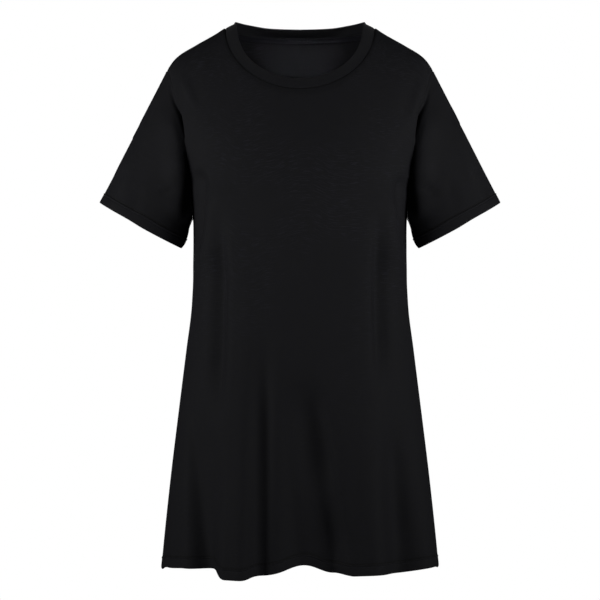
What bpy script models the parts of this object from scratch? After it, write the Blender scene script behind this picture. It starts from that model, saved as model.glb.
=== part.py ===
"""T-shirt dress in plain jersey, standing open in the shape it has when worn.

It is cut as a front panel, a back panel, two set-in sleeves, a doubled neck band and a neck tape.
Each piece is a thin wall whose outer face is a grid of points worked out from the tables below.

Sizes and heights are in millimetres; make_object turns them into metres.
Frame: +Z up, the front faces -Y, and +X is the wearer's left. The origin is the middle of the
neck base, level with the inner ends of the shoulder seams.
"""

import math
from typing import NamedTuple

import bpy
import numpy as np

MM = 0.001
SEAM_GAP = 0.3
JERSEY = 1.2
HEM_THICKNESS = 2.2
HEM_DEPTH = 17.0
HEM_STEP = 1.5
BAND_THICKNESS = 2.2
BAND_WIDTH = 19.0
BAND_BEND = 0.9
BAND_CROWN = 1.1
BAND_FOLD = 0.4
BAND_LEAN_FRONT = math.radians(59)
BAND_LEAN_SIDE = math.radians(26)
BAND_LEAN_BACK = math.radians(36)
BAND_LEAN_CORNER = math.radians(28)
TAPE_WIDTH = 11.0
TAPE_THICKNESS = 1.0
TAPE_GAP = 0.4
TAPE_INSET_COLUMNS = 2

HEM_Z = -863.0
UNDERARM_Z = -243.0
PARTING_Z = -430.0
TIP_X = 213.3
TIP_Z = -69.6
NECK_HALF_WIDTH = 119.5

SLEEVE_LEAN = math.radians(29.3)
CUFF_CENTRE = np.array([255.5, 0.0, -316.0])
CUFF_HALF_WIDTH = 74.6
CUFF_HALF_DEPTH = 36.0
CUFF_SAG = 2.0
SLEEVE_CLEARANCE = 2.4
CLEAR_FROM = 0.2
VALLEY_DEPTH = 6.0
VALLEY_REACH = 14.0
VALLEY_SPREAD = 1.5
SLEEVE_FOLDED = -0.1
SLEEVE_FREE = 0.45
FOLD_LIFT = 6.0
FOLD_RUN = 0.25
UNDERARM_TURN = 24.0
UNDERARM_OUT = np.array([1.0, 0.0, 0.1])
UNDERARM_FLARE = np.array([0.75, 0.0, -0.66])
ARMHOLE_WIDEST_Z = -171.0

BLACK_JERSEY = (0.0085, 0.0085, 0.0095, 1.0)
BLACK_RIB = (0.0075, 0.0075, 0.0085, 1.0)
BLACK_TWILL = (0.0100, 0.0100, 0.0110, 1.0)
KNIT_ROUGHNESS = 0.85
TWILL_ROUGHNESS = 0.80


class Section(NamedTuple):
    """A level ring round the body."""

    z: float
    half_width: float
    front: float
    back: float
    square: float


SECTIONS = (
    Section(z=-863.0, half_width=221.3, front=147.0, back=143.0, square=2.15),
    Section(z=-803.0, half_width=215.5, front=144.0, back=139.0, square=2.15),
    Section(z=-707.0, half_width=205.1, front=138.0, back=134.0, square=2.15),
    Section(z=-611.0, half_width=193.4, front=131.0, back=127.0, square=2.20),
    Section(z=-515.0, half_width=181.4, front=124.5, back=117.0, square=2.20),
    Section(z=-443.0, half_width=172.6, front=120.5, back=106.0, square=2.25),
    Section(z=-395.0, half_width=170.5, front=119.5, back=99.5, square=2.30),
    Section(z=-320.0, half_width=170.5, front=119.5, back=98.5, square=2.30),
    Section(z=-290.0, half_width=172.0, front=119.5, back=100.0, square=2.35),
    Section(z=-243.0, half_width=177.0, front=119.5, back=103.0, square=2.50),
    Section(z=-215.0, half_width=184.0, front=119.5, back=104.0, square=2.60),
    Section(z=-180.0, half_width=196.5, front=119.5, back=104.0, square=2.70),
    Section(z=-153.0, half_width=203.4, front=119.5, back=104.0, square=2.70),
    Section(z=-114.0, half_width=210.0, front=119.5, back=104.0, square=2.70),
    Section(z=TIP_Z, half_width=TIP_X, front=119.5, back=104.0, square=2.70),
)


class RidgePoint(NamedTuple):
    """A point of the shoulder line, which runs on across the open neck."""

    x: float
    z: float


RIDGE = (
    RidgePoint(x=0.0, z=40.0),
    RidgePoint(x=60.0, z=30.0),
    RidgePoint(x=100.0, z=12.0),
    RidgePoint(x=119.5, z=0.0),
    RidgePoint(x=134.0, z=-9.6),
    RidgePoint(x=167.8, z=-28.8),
    RidgePoint(x=197.7, z=-48.0),
    RidgePoint(x=210.3, z=-64.0),
    RidgePoint(x=TIP_X, z=TIP_Z),
)


class ArmholePoint(NamedTuple):
    """A point of an armhole's edge, by its height and its distance from the shoulder plane."""

    z: float
    out: float


FRONT_ARMHOLE = (
    ArmholePoint(z=UNDERARM_Z, out=0.0),
    ArmholePoint(z=-239.0, out=15.0),
    ArmholePoint(z=-225.0, out=30.0),
    ArmholePoint(z=-200.0, out=42.0),
    ArmholePoint(z=-171.0, out=47.0),
    ArmholePoint(z=-142.0, out=43.0),
    ArmholePoint(z=-115.0, out=31.0),
    ArmholePoint(z=-90.0, out=19.0),
    ArmholePoint(z=-77.0, out=11.0),
    ArmholePoint(z=TIP_Z, out=0.0),
)

BACK_ARMHOLE = (
    ArmholePoint(z=UNDERARM_Z, out=0.0),
    ArmholePoint(z=-239.0, out=12.0),
    ArmholePoint(z=-225.0, out=25.0),
    ArmholePoint(z=-200.0, out=38.0),
    ArmholePoint(z=-171.0, out=45.0),
    ArmholePoint(z=-142.0, out=43.0),
    ArmholePoint(z=-115.0, out=35.0),
    ArmholePoint(z=-90.0, out=23.0),
    ArmholePoint(z=-77.0, out=13.0),
    ArmholePoint(z=TIP_Z, out=0.0),
)


class Fold(NamedTuple):
    """A crest or trough of the skirt.

    across is its place between the side seams, from -1 to 1, at the fold's start and at the hem.
    rise is how far it stands out of the plain ring at the hem, and lift how far it raises the hem.
    """

    across_top: float
    across_hem: float
    start_z: float
    rise: float
    lift: float


FRONT_FOLDS = (
    Fold(across_top=-1.000, across_hem=-1.000, start_z=-600.0, rise=0.0, lift=1.0),
    Fold(across_top=-0.995, across_hem=-0.930, start_z=-600.0, rise=3.0, lift=9.0),
    Fold(across_top=-0.990, across_hem=-0.800, start_z=-600.0, rise=3.0, lift=12.0),
    Fold(across_top=-0.975, across_hem=-0.650, start_z=-560.0, rise=-17.0, lift=13.0),
    Fold(across_top=-0.550, across_hem=-0.500, start_z=-430.0, rise=14.0, lift=0.8),
    Fold(across_top=-0.450, across_hem=-0.400, start_z=-400.0, rise=16.0, lift=0.8),
    Fold(across_top=-0.280, across_hem=-0.250, start_z=-400.0, rise=0.0, lift=6.5),
    Fold(across_top=-0.150, across_hem=0.030, start_z=-500.0, rise=-33.0, lift=19.4),
    Fold(across_top=0.000, across_hem=0.260, start_z=-500.0, rise=-37.0, lift=7.0),
    Fold(across_top=0.160, across_hem=0.390, start_z=-400.0, rise=-9.0, lift=4.3),
    Fold(across_top=0.600, across_hem=0.520, start_z=-400.0, rise=7.0, lift=6.5),
    Fold(across_top=0.780, across_hem=0.740, start_z=-540.0, rise=-24.0, lift=3.4),
    Fold(across_top=0.970, across_hem=0.940, start_z=-600.0, rise=4.0, lift=9.0),
    Fold(across_top=1.000, across_hem=1.000, start_z=-600.0, rise=0.0, lift=4.0),
)

BACK_FOLDS = (
    Fold(across_top=-1.00, across_hem=-1.000, start_z=-600.0, rise=0.0, lift=4.0),
    Fold(across_top=-0.84, across_hem=-0.800, start_z=-480.0, rise=9.0, lift=3.0),
    Fold(across_top=-0.58, across_hem=-0.540, start_z=-520.0, rise=-24.0, lift=12.0),
    Fold(across_top=-0.30, across_hem=-0.240, start_z=-440.0, rise=17.0, lift=4.0),
    Fold(across_top=0.02, across_hem=0.080, start_z=-500.0, rise=-30.0, lift=14.0),
    Fold(across_top=0.36, across_hem=0.400, start_z=-440.0, rise=19.0, lift=3.0),
    Fold(across_top=0.66, across_hem=0.700, start_z=-540.0, rise=-19.0, lift=9.0),
    Fold(across_top=0.90, across_hem=0.900, start_z=-560.0, rise=4.0, lift=2.0),
    Fold(across_top=1.00, across_hem=1.000, start_z=-600.0, rise=0.0, lift=1.0),
)

FOLD_TOP_Z = -500.0
FOLD_GROWTH = 1.25


class Panel(NamedTuple):
    """One of the two body panels. face is -1 for the front and +1 for the back."""

    name: str
    face: int
    yoke_z: float
    yoke_pull: float
    neck_drop: float
    armhole: tuple
    folds: tuple
    shoulder_columns: int
    neck_columns: int
    skirt_rows: int
    armhole_rows: int
    taped: bool


FRONT = Panel(
    name="front_panel",
    face=-1,
    yoke_z=-290.0,
    yoke_pull=0.45,
    neck_drop=104.5,
    armhole=FRONT_ARMHOLE,
    folds=FRONT_FOLDS,
    shoulder_columns=8,
    neck_columns=20,
    skirt_rows=18,
    armhole_rows=13,
    taped=False,
)

BACK = Panel(
    name="back_panel",
    face=1,
    yoke_z=-215.0,
    yoke_pull=0.2,
    neck_drop=8.0,
    armhole=BACK_ARMHOLE,
    folds=BACK_FOLDS,
    shoulder_columns=7,
    neck_columns=16,
    skirt_rows=17,
    armhole_rows=12,
    taped=True,
)


class BandPoint(NamedTuple):
    """A point round the neck band's section: how far up the band, and how far off its middle."""

    reach: float
    out: float


BAND_PROFILE = (
    BandPoint(reach=0.00, out=JERSEY / 2),
    BandPoint(reach=0.10, out=BAND_THICKNESS / 2),
    BandPoint(reach=0.50, out=BAND_THICKNESS / 2 * BAND_CROWN),
    BandPoint(reach=0.92, out=BAND_THICKNESS / 2),
    BandPoint(reach=1.00, out=BAND_THICKNESS / 2 * BAND_FOLD),
    BandPoint(reach=1.00, out=-BAND_THICKNESS / 2 * BAND_FOLD),
    BandPoint(reach=0.92, out=-BAND_THICKNESS / 2),
    BandPoint(reach=0.50, out=-BAND_THICKNESS / 2 * BAND_CROWN),
    BandPoint(reach=0.10, out=-BAND_THICKNESS / 2),
    BandPoint(reach=0.00, out=-JERSEY / 2),
)

NECK_BLEND_FROM = -0.1
COLUMN_GATHER = 3.0
ARMHOLE_SPREAD = 3.0
TIP_CROWDING = 1.4
TAPE_ROW_MOST = 0.8
NECK_SAMPLES = 60
LEAST_DEPTH = 1.0
SEARCH_HEIGHTS = 400
SEARCH_ROUNDS = 60
FIRST_GUESS = 0.8
NUDGE = 1e-3
SLEEVE_RINGS = (0.0, 0.03, 0.065, 0.11, 0.18, 0.28, 0.40, 0.53, 0.66, 0.79)


def smooth_curve(knots, values):
    """A monotone cubic curve through the knots, which never overshoots between them."""
    x = np.asarray(knots, float)
    y = np.asarray(values, float)
    width = np.diff(x)
    slope = np.diff(y) / width
    tangent = np.zeros_like(y)
    tangent[0] = slope[0]
    tangent[-1] = slope[-1]
    for i in range(1, len(x) - 1):
        if slope[i - 1] * slope[i] > 0:
            near = 2 * width[i] + width[i - 1]
            far = width[i] + 2 * width[i - 1]
            tangent[i] = (near + far) / (near / slope[i - 1] + far / slope[i])

    def curve(at):
        at = np.clip(at, x[0], x[-1])
        i = np.clip(np.searchsorted(x, at) - 1, 0, len(width) - 1)
        s = (at - x[i]) / width[i]
        low = (1 + 2 * s) * (1 - s) ** 2 * y[i] + s * (1 - s) ** 2 * width[i] * tangent[i]
        high = s**2 * (3 - 2 * s) * y[i + 1] + s**2 * (s - 1) * width[i] * tangent[i + 1]
        return low + high

    return curve


def column_curve(rows, key, value):
    """The smooth curve of one named column of a table against another."""
    return smooth_curve([getattr(row, key) for row in rows], [getattr(row, value) for row in rows])


half_width_at = column_curve(SECTIONS, "z", "half_width")
front_depth_at = column_curve(SECTIONS, "z", "front")
back_depth_at = column_curve(SECTIONS, "z", "back")
square_at = column_curve(SECTIONS, "z", "square")
ridge_at = column_curve(RIDGE, "x", "z")


def ease(share):
    """A smooth step from 0 to 1."""
    share = np.clip(share, 0, 1)
    return share**2 * (3 - 2 * share)


def unit(vectors):
    """The vectors at length 1."""
    return vectors / np.linalg.norm(vectors, axis=-1, keepdims=True)


def walked_share(points):
    """How far along an open run of points each one is, from 0 to 1."""
    steps = np.linalg.norm(np.diff(points, axis=0), axis=1)
    walked = np.concatenate([[0], np.cumsum(steps)])
    return walked / walked[-1]


def yoke_climb(panel, h):
    """How far up its yoke a panel is, as a share of the way to the shoulder, at h from 0 to 1."""
    turn = (1 - np.clip(h, 0, 1)) * math.pi / 2
    return np.cos(turn) * (1 - panel.yoke_pull * np.sin(turn) ** 2)


def skirt_drape(panel, across, z):
    """How far the folds push a panel out and raise it, at a place across it and a height."""
    down = np.clip((FOLD_TOP_Z - z) / (FOLD_TOP_Z - HEM_Z), 0, 1)
    places = []
    rises = []
    lifts = []
    for fold in panel.folds:
        grown = np.clip((fold.start_z - z) / (fold.start_z - HEM_Z), 0, 1) ** FOLD_GROWTH
        places.append(fold.across_top + (fold.across_hem - fold.across_top) * down)
        rises.append(fold.rise * grown)
        lifts.append(fold.lift * grown)
    rise = np.zeros_like(z)
    lift = np.zeros_like(z)
    for i in range(len(places) - 1):
        share = (across - places[i]) / (places[i + 1] - places[i])
        blend = (1 - np.cos(math.pi * np.clip(share, 0, 1))) / 2
        inside = (share >= 0) & (share <= 1)
        rise = np.where(inside, rises[i] + (rises[i + 1] - rises[i]) * blend, rise)
        lift = np.where(inside, lifts[i] + (lifts[i + 1] - lifts[i]) * blend, lift)
    return rise, lift


def panel_points(panel, p, h):
    """Points of a panel's outer face.

    p runs from -1 to 1 between the side seams. h is -1 at the hem, 0 where the yoke starts and 1
    on the shoulder line.
    """
    turn = (1 - np.clip(h, 0, 1)) * math.pi / 2
    climb = yoke_climb(panel, h)
    below = panel.yoke_z + h * (panel.yoke_z - HEM_Z)
    ring_z = np.where(h > 0, panel.yoke_z + (TIP_Z - panel.yoke_z) * climb, below)
    square = square_at(ring_z)
    sine = np.sign(p) * np.abs(np.sin(p * math.pi / 2)) ** (2 / square)
    cosine = np.abs(np.cos(p * math.pi / 2)) ** (2 / square)
    width = half_width_at(ring_z)
    depth_at = front_depth_at if panel.face < 0 else back_depth_at
    depth = depth_at(np.minimum(ring_z, panel.yoke_z)) * np.sin(turn)
    across = width * sine
    out = depth * cosine
    ridge = ridge_at(TIP_X * np.abs(sine))
    z = np.where(h > 0, panel.yoke_z + (ridge - panel.yoke_z) * climb, ring_z)
    rise, lift = skirt_drape(panel, sine, ring_z)
    lean_across = np.sign(p) * np.abs(sine) ** (square - 1) / width
    lean_out = cosine ** (square - 1) / np.maximum(depth, LEAST_DEPTH)
    lean = np.hypot(lean_across, lean_out)
    across = across + rise * lean_across / lean
    out = out + rise * lean_out / lean
    return np.stack([-panel.face * across, panel.face * out, z + lift], axis=-1)


def panel_normals(panel, p, h):
    """Outward directions, square to a panel's outer face."""
    right, left = np.clip(p + NUDGE, -1, 1), np.clip(p - NUDGE, -1, 1)
    over, under = np.clip(h + NUDGE, -1, 1), np.clip(h - NUDGE, -1, 1)
    along = panel_points(panel, right, h) - panel_points(panel, left, h)
    up = panel_points(panel, p, over) - panel_points(panel, p, under)
    return unit(np.cross(along, up))


def place_on_panel(panel, z, x=None, out=None):
    """p and h of the point of a panel at height z that is at |x|, or as far out as out says."""
    heights = np.linspace(0, 1, SEARCH_HEIGHTS)
    climbs = yoke_climb(panel, heights)
    depth_at = front_depth_at if panel.face < 0 else back_depth_at
    sine = FIRST_GUESS
    for _ in range(SEARCH_ROUNDS):
        climb = (z - panel.yoke_z) / (ridge_at(TIP_X * sine) - panel.yoke_z)
        h = np.interp(climb, climbs, heights) if climb > 0 else (z - panel.yoke_z) / (panel.yoke_z - HEM_Z)
        ring_z = panel.yoke_z + (TIP_Z - panel.yoke_z) * max(climb, 0) if h > 0 else z
        if x is not None:
            found = min(x / half_width_at(ring_z), 1.0)
        else:
            depth = depth_at(min(ring_z, panel.yoke_z)) * math.sin((1 - max(h, 0)) * math.pi / 2)
            cosine = min(out / max(depth, NUDGE), 1.0)
            found = (1 - cosine ** square_at(ring_z)) ** (1 / square_at(ring_z))
        sine = (sine + found) / 2
    return 2 / math.pi * math.asin(min(sine, 1.0) ** (square_at(ring_z) / 2)), float(h)


def side_rows(panel):
    """p, h and wall thickness of each row at a panel's side: the hem, the side seam, the armhole."""
    levels = [HEM_Z, HEM_Z + HEM_DEPTH, HEM_Z + HEM_DEPTH + HEM_STEP]
    levels += list(np.linspace(levels[-1], UNDERARM_Z, panel.skirt_rows + 1)[1:-1])
    places = [(1.0, place_on_panel(panel, z, x=half_width_at(z))[1]) for z in levels]
    edge = panel.armhole
    walked = np.cumsum([0] + [math.dist(a, b) for a, b in zip(edge, edge[1:])])
    z_at = smooth_curve(walked, [point.z for point in edge])
    out_at = smooth_curve(walked, [point.out for point in edge])
    left = np.linspace(1, 0, panel.armhole_rows + 1)[:-1] ** TIP_CROWDING
    for walk in walked[-1] * (1 - left):
        places.append(place_on_panel(panel, float(z_at(walk)), out=float(out_at(walk))))
    places.append((1.0, 1.0))
    thickness = [HEM_THICKNESS] * 2 + [JERSEY] * (len(places) - 2)
    p, h = np.array(places).T
    return p, h, np.array(thickness)


def top_columns(panel):
    """p and h of each column at a panel's top edge: shoulder, neck, shoulder."""
    ends = np.linspace(TIP_X, NECK_HALF_WIDTH, panel.shoulder_columns + 1)
    shoulder = []
    for x in ends:
        sine = x / TIP_X
        shoulder.append((2 / math.pi * math.asin(sine ** (square_at(TIP_Z) / 2)), 1.0))
    neck = []
    for angle in np.linspace(math.pi / 2, 0, NECK_SAMPLES):
        x = NECK_HALF_WIDTH * math.sin(angle)
        neck.append(place_on_panel(panel, -panel.neck_drop * math.cos(angle), x=x))
    neck[0] = shoulder[-1]
    neck = np.array(neck)
    walked = walked_share(panel_points(panel, *neck.T))
    even = np.linspace(0, 1, panel.neck_columns // 2 + 1)[1:]
    neck = np.stack([np.interp(even, walked, column) for column in neck.T], axis=-1)
    right = np.concatenate([shoulder, neck])
    left = right * [-1, 1]
    p, h = np.concatenate([left, right[-2::-1]]).T
    return p, h


def panel_grid(panel):
    """Outer points, outward normals and wall thickness of a panel, rows from hem to shoulder."""
    side_p, side_h, thickness = side_rows(panel)
    top_p, top_h = top_columns(panel)
    even = np.linspace(-1, 1, len(top_p))
    drawn = ease((side_h - NECK_BLEND_FROM) / (1 - NECK_BLEND_FROM))[:, None]
    gathered = np.clip(side_h, 0, 1)[:, None] ** COLUMN_GATHER
    drawn_in = (1 - side_p[:, None]) * np.sign(even) * np.abs(even) ** ARMHOLE_SPREAD
    p = even - drawn_in + gathered * (top_p - even)
    h = side_h[:, None] - drawn * (1 - top_h)
    if panel.taped:
        top, below = panel_points(panel, p[-2:], h[-2:])[::-1]
        share = np.minimum(TAPE_WIDTH / np.linalg.norm(top - below, axis=-1), TAPE_ROW_MOST)
        p = np.insert(p, -1, p[-1] + share * (p[-2] - p[-1]), axis=0)
        h = np.insert(h, -1, h[-1] + share * (h[-2] - h[-1]), axis=0)
        thickness = np.append(thickness, JERSEY)
    points = panel_points(panel, p, h)
    seams = seam_mask(panel, points.shape[:2])
    points[seams, 1] = panel.face * SEAM_GAP / 2
    normals = panel_normals(panel, p, h)
    normals[seams, 1] = 0
    return points, unit(normals), np.broadcast_to(thickness[:, None], points.shape[:2])


def underarm_row(panel):
    """The row of a panel's grid that ends at the underarm: the hem's three come before the skirt's."""
    return panel.skirt_rows + 2


def seam_mask(panel, shape):
    """Which points of a panel's grid lie on its side seams or its shoulder seams."""
    mask = np.zeros(shape, bool)
    mask[: underarm_row(panel) + 1, [0, -1]] = True
    mask[-1, : panel.shoulder_columns + 1] = True
    mask[-1, shape[1] - 1 - panel.shoulder_columns :] = True
    return mask


def leaving(edge, normals):
    """Directions in a panel's surface, square to an edge of it, that point to the edge's left.

    That is off the panel along its top row and its first column, and onto it along its last column.
    """
    return unit(np.cross(normals, np.gradient(edge, axis=0)))


def armhole_ring(front, back):
    """The armhole on the wearer's left: points, panel normals and directions that leave the panels.

    The ring runs from the underarm up the front edge to the shoulder tip and down the back edge.
    The last value is the tip's place in it.
    """
    front_points, front_normals, _ = front
    back_points, back_normals, _ = back
    low_front = underarm_row(FRONT)
    low_back = underarm_row(BACK)
    front_edge = front_points[low_front:, -1]
    back_edge = back_points[low_back:, 0]
    front_away = -leaving(front_edge, front_normals[low_front:, -1])
    back_away = leaving(back_edge, back_normals[low_back:, 0])
    ring = np.concatenate([front_edge, back_edge[-2:0:-1]])
    away = np.concatenate([front_away, back_away[-2:0:-1]])
    normals = np.concatenate([front_normals[low_front:, -1], back_normals[low_back + 1 : -1, 0][::-1]])
    tip = len(front_edge) - 1
    ring[[0, tip], 1] = 0
    along_ridge = front_points[-1, -1] - front_points[-1, -2]
    away[tip] = unit(along_ridge * [1, 0, 1])
    away[0] = (0, 0, 1)
    return ring, normals, away, tip


def body_side_x(point):
    """x of the body's outer face on the wearer's left, level with a point and as far from the ridge.

    Above the armhole's edge there is no body, and the answer is 0.
    """
    panel = FRONT if point[1] < 0 else BACK
    lower = [row for row in panel.armhole if row.z <= ARMHOLE_WIDEST_Z]
    edge_z = np.interp(abs(point[1]), [row.out for row in lower], [row.z for row in lower])
    if point[2] > edge_z:
        return 0.0
    p, h = place_on_panel(panel, float(point[2]), out=abs(float(point[1])))
    return abs(float(panel_points(panel, np.array(p), np.array(h))[0]))


def sleeve_grid(front, back):
    """Outer points, normals and wall thickness of the sleeve on the wearer's left, by rings."""
    ring, seam_normals, away, tip = armhole_ring(front, back)
    share = np.empty(len(ring))
    share[: tip + 1] = 0.5 * walked_share(ring[: tip + 1])
    closing = np.concatenate([ring[tip:], ring[:1]])
    share[tip:] = (0.5 + 0.5 * walked_share(closing))[:-1]
    angle = share * 2 * math.pi
    flat = np.array([math.cos(SLEEVE_LEAN), 0, math.sin(SLEEVE_LEAN)])
    axis = np.array([math.sin(SLEEVE_LEAN), 0, -math.cos(SLEEVE_LEAN)])
    side = np.abs(np.sin(angle))[:, None]
    cuff = (
        CUFF_CENTRE
        + CUFF_SAG * side**2 * axis
        - CUFF_HALF_WIDTH * np.cos(angle)[:, None] * flat
        - CUFF_HALF_DEPTH * np.sin(angle)[:, None] * np.array([0, 1, 0])
    )
    low = ((1 + np.cos(angle)) / 2)[:, None] ** 2
    start = ring + SEAM_GAP * away
    straight = cuff - start
    reach = np.linalg.norm(straight, axis=1)[:, None]
    ahead = np.sum(away * unit(straight), axis=1)[:, None]
    hanging = ease((ahead - SLEEVE_FOLDED) / (SLEEVE_FREE - SLEEVE_FOLDED))
    folded = away * (FOLD_LIFT * low + (1 - low) * FOLD_RUN * reach) + UNDERARM_OUT * UNDERARM_TURN * low
    leave = folded + hanging * (straight - folded)
    arrive = straight + low * (UNDERARM_FLARE * reach - straight)
    hem_share = 1 - HEM_DEPTH / reach.mean()
    steps = list(SLEEVE_RINGS) + [hem_share - HEM_STEP / reach.mean(), hem_share, 1.0]
    rings = []
    for t in steps:
        point = (
            (1 + 2 * t) * (1 - t) ** 2 * start
            + t * (1 - t) ** 2 * leave
            + t**2 * (3 - 2 * t) * cuff
            + t**2 * (t - 1) * arrive
        )
        gone = t * reach / VALLEY_REACH
        dent = VALLEY_DEPTH * side**VALLEY_SPREAD * gone * np.exp(1 - gone)
        point[:, 1:2] += dent * np.sign(-point[:, 1:2])
        clearance = SLEEVE_CLEARANCE * float(ease(t / CLEAR_FROM))
        if t > 0:
            nearest = [body_side_x(one) + clearance for one in point]
            point[:, 0] = np.maximum(point[:, 0], nearest)
        rings.append(point)
    points = np.array(rings)
    along = np.roll(points, -1, axis=1) - np.roll(points, 1, axis=1)
    down = np.gradient(points, axis=0)
    normals = unit(np.cross(down, along))
    normals[0] = seam_normals
    thickness = np.array([JERSEY] * (len(steps) - 2) + [HEM_THICKNESS] * 2)
    return points, normals, np.broadcast_to(thickness[:, None], points.shape[:2])


def neck_ring(front, back):
    """The neck seam: its points, normals and the directions that leave the panels.

    The ring runs from the wearer's right shoulder along the front to the left one, then the back.
    """
    parts = []
    for panel, (points, normals, _) in ((FRONT, front), (BACK, back)):
        first = panel.shoulder_columns
        last = points.shape[1] - panel.shoulder_columns
        edge = points[-1, first:last]
        parts.append((edge, normals[-1, first:last], leaving(edge, normals[-1, first:last])))
    (front_edge, front_normals, front_away), (back_edge, back_normals, back_away) = parts
    ring = np.concatenate([front_edge, back_edge[1:-1]])
    normals = np.concatenate([front_normals, back_normals[1:-1]])
    away = np.concatenate([front_away, back_away[1:-1]])
    shoulder_line = front[0][-1]
    corners = ((0, FRONT.shoulder_columns - 1), (len(front_edge) - 1, -FRONT.shoulder_columns))
    for corner, beside in corners:
        ring[corner, 1] = 0
        away[corner] = unit((ring[corner] - shoulder_line[beside]) * [1, 0, 1])
    return ring, normals, away


def neck_band_loops(front, back):
    """The closed loops of the neck band, from its outer seam edge over the fold to the inner one."""
    ring, normals, away = neck_ring(front, back)
    tangent = np.roll(ring, -1, axis=0) - np.roll(ring, 1, axis=0)
    inward = unit(np.stack([-tangent[:, 1], tangent[:, 0], np.zeros(len(ring))], axis=-1))
    forward = inward[:, 1] > 0
    lean = BAND_LEAN_SIDE * inward[:, 0] ** 2
    lean += np.where(forward, BAND_LEAN_FRONT, BAND_LEAN_BACK) * inward[:, 1] ** 2
    lean += BAND_LEAN_CORNER * (2 * inward[:, 0] * np.minimum(inward[:, 1], 0)) ** 2
    climb = unit(inward * np.cos(lean)[:, None] + np.array([0, 0, 1]) * np.sin(lean)[:, None])
    tangent = unit(tangent)
    climb = unit(climb - np.sum(climb * tangent, axis=-1, keepdims=True) * tangent)
    seam = ring + SEAM_GAP * away
    middle = seam - JERSEY / 2 * normals
    loops = []
    for row in BAND_PROFILE:
        bend = BAND_BEND * (away - climb)
        path = middle + BAND_WIDTH * (row.reach * climb + row.reach * (1 - row.reach) * bend)
        course = climb + (1 - 2 * row.reach) * bend
        outside = unit(np.cross(tangent, course))
        outside = np.where(np.sum(outside * normals, axis=-1, keepdims=True) < 0, -outside, outside)
        direction = normals if row.reach == 0 else outside
        loops.append(path + direction * row.out)
    return np.array(loops)


def neck_tape_grids(back):
    """Outer and inner points of the tape that lies inside the back panel, below the neck seam."""
    points, normals, _ = back
    first = BACK.shoulder_columns + TAPE_INSET_COLUMNS
    last = points.shape[1] - first
    face = points[-2:, first:last]
    lean = normals[-2:, first:last]
    outer = face - (JERSEY + TAPE_GAP) * lean
    inner = outer - TAPE_THICKNESS * lean
    return outer, inner


def quads_as_triangles(grid, wrapped, flip):
    """The triangles of a grid of points, each quad cut along its shorter diagonal."""
    rows, columns = grid.shape[:2]
    triangles = []
    for i in range(rows - 1):
        for j in range(columns if wrapped else columns - 1):
            k = (j + 1) % columns
            a, b, c, d = i * columns + j, i * columns + k, (i + 1) * columns + k, (i + 1) * columns + j
            across = np.linalg.norm(grid[i, j] - grid[i + 1, k])
            other = np.linalg.norm(grid[i, k] - grid[i + 1, j])
            pair = [(a, b, c), (a, c, d)] if across <= other else [(a, b, d), (b, c, d)]
            triangles += [face[::-1] if flip else face for face in pair]
    return triangles


def rim(first, second):
    """The triangles between two runs of vertex numbers of the same length."""
    triangles = []
    for (a, b), (c, d) in zip(zip(first, first[1:]), zip(second, second[1:])):
        triangles += [(a, c, d), (a, d, b)]
    return triangles


def wall_mesh(outer, inner, wrapped):
    """Vertices and triangles of the closed wall between an outer and an inner grid."""
    rows, columns = outer.shape[:2]
    count = rows * columns
    vertices = np.concatenate([outer.reshape(-1, 3), inner.reshape(-1, 3)])
    faces = quads_as_triangles(outer, wrapped, flip=False)
    faces += [(a + count, c + count, b + count) for a, b, c in faces]
    index = np.arange(count).reshape(rows, columns)
    low = list(index[0])
    high = list(index[-1])[::-1]
    if wrapped:
        edges = [low + low[:1], high + high[:1]]
    else:
        edges = [low + list(index[1:, -1]) + high[1:] + list(index[-2::-1, 0])]
    for edge in edges:
        faces += rim(edge, [i + count for i in edge])
    return vertices, faces


def loops_mesh(loops):
    """Vertices and triangles of a ring-shaped body made of closed loops, the last joined to the first."""
    closed = np.concatenate([loops, loops[:1]])
    rows, columns = loops.shape[:2]
    faces = quads_as_triangles(closed, wrapped=True, flip=False)
    faces = [tuple(i % (rows * columns) for i in face) for face in faces]
    return loops.reshape(-1, 3), faces


def signed_volume(vertices, faces):
    """The volume that the faces enclose, negative where they face inwards."""
    corners = vertices[np.array(faces)]
    return np.einsum("ij,ij->i", corners[:, 0], np.cross(corners[:, 1], corners[:, 2])).sum() / 6


def material(name, colour, roughness):
    """A plain cloth material."""
    made = bpy.data.materials.new(name)
    made.use_nodes = True
    shader = made.node_tree.nodes["Principled BSDF"]
    shader.inputs["Base Color"].default_value = colour
    shader.inputs["Roughness"].default_value = roughness
    shader.inputs["Metallic"].default_value = 0.0
    return made


def make_object(name, vertices, faces, finish):
    """One sub-part as a mesh object in metres, with its faces pointing outwards."""
    if signed_volume(vertices, faces) < 0:
        faces = [face[::-1] for face in faces]
    mesh = bpy.data.meshes.new(name)
    mesh.from_pydata((vertices * MM).tolist(), [], [tuple(int(i) for i in face) for face in faces])
    mesh.validate()
    mesh.shade_smooth()
    mesh.materials.append(finish)
    made = bpy.data.objects.new(name, mesh)
    bpy.context.scene.collection.objects.link(made)
    return made


def build_panel(panel, grid, finish):
    """A body panel, parted level at PARTING_Z so that collision pieces can follow its hollow."""
    points, normals, thickness = grid
    inner = points - normals * thickness[..., None]
    walls = np.stack([points, inner])
    row = int(np.argmin(np.abs(points[:, 0, 2] - PARTING_Z)))
    top = walls[:, row:].copy()
    top[:, 0] += SEAM_GAP * unit(top[:, 1] - top[:, 0])
    make_object(f"{panel.name}_top", *wall_mesh(*top, wrapped=False), finish)
    make_object(f"{panel.name}_skirt", *wall_mesh(*walls[:, : row + 1], wrapped=False), finish)


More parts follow.
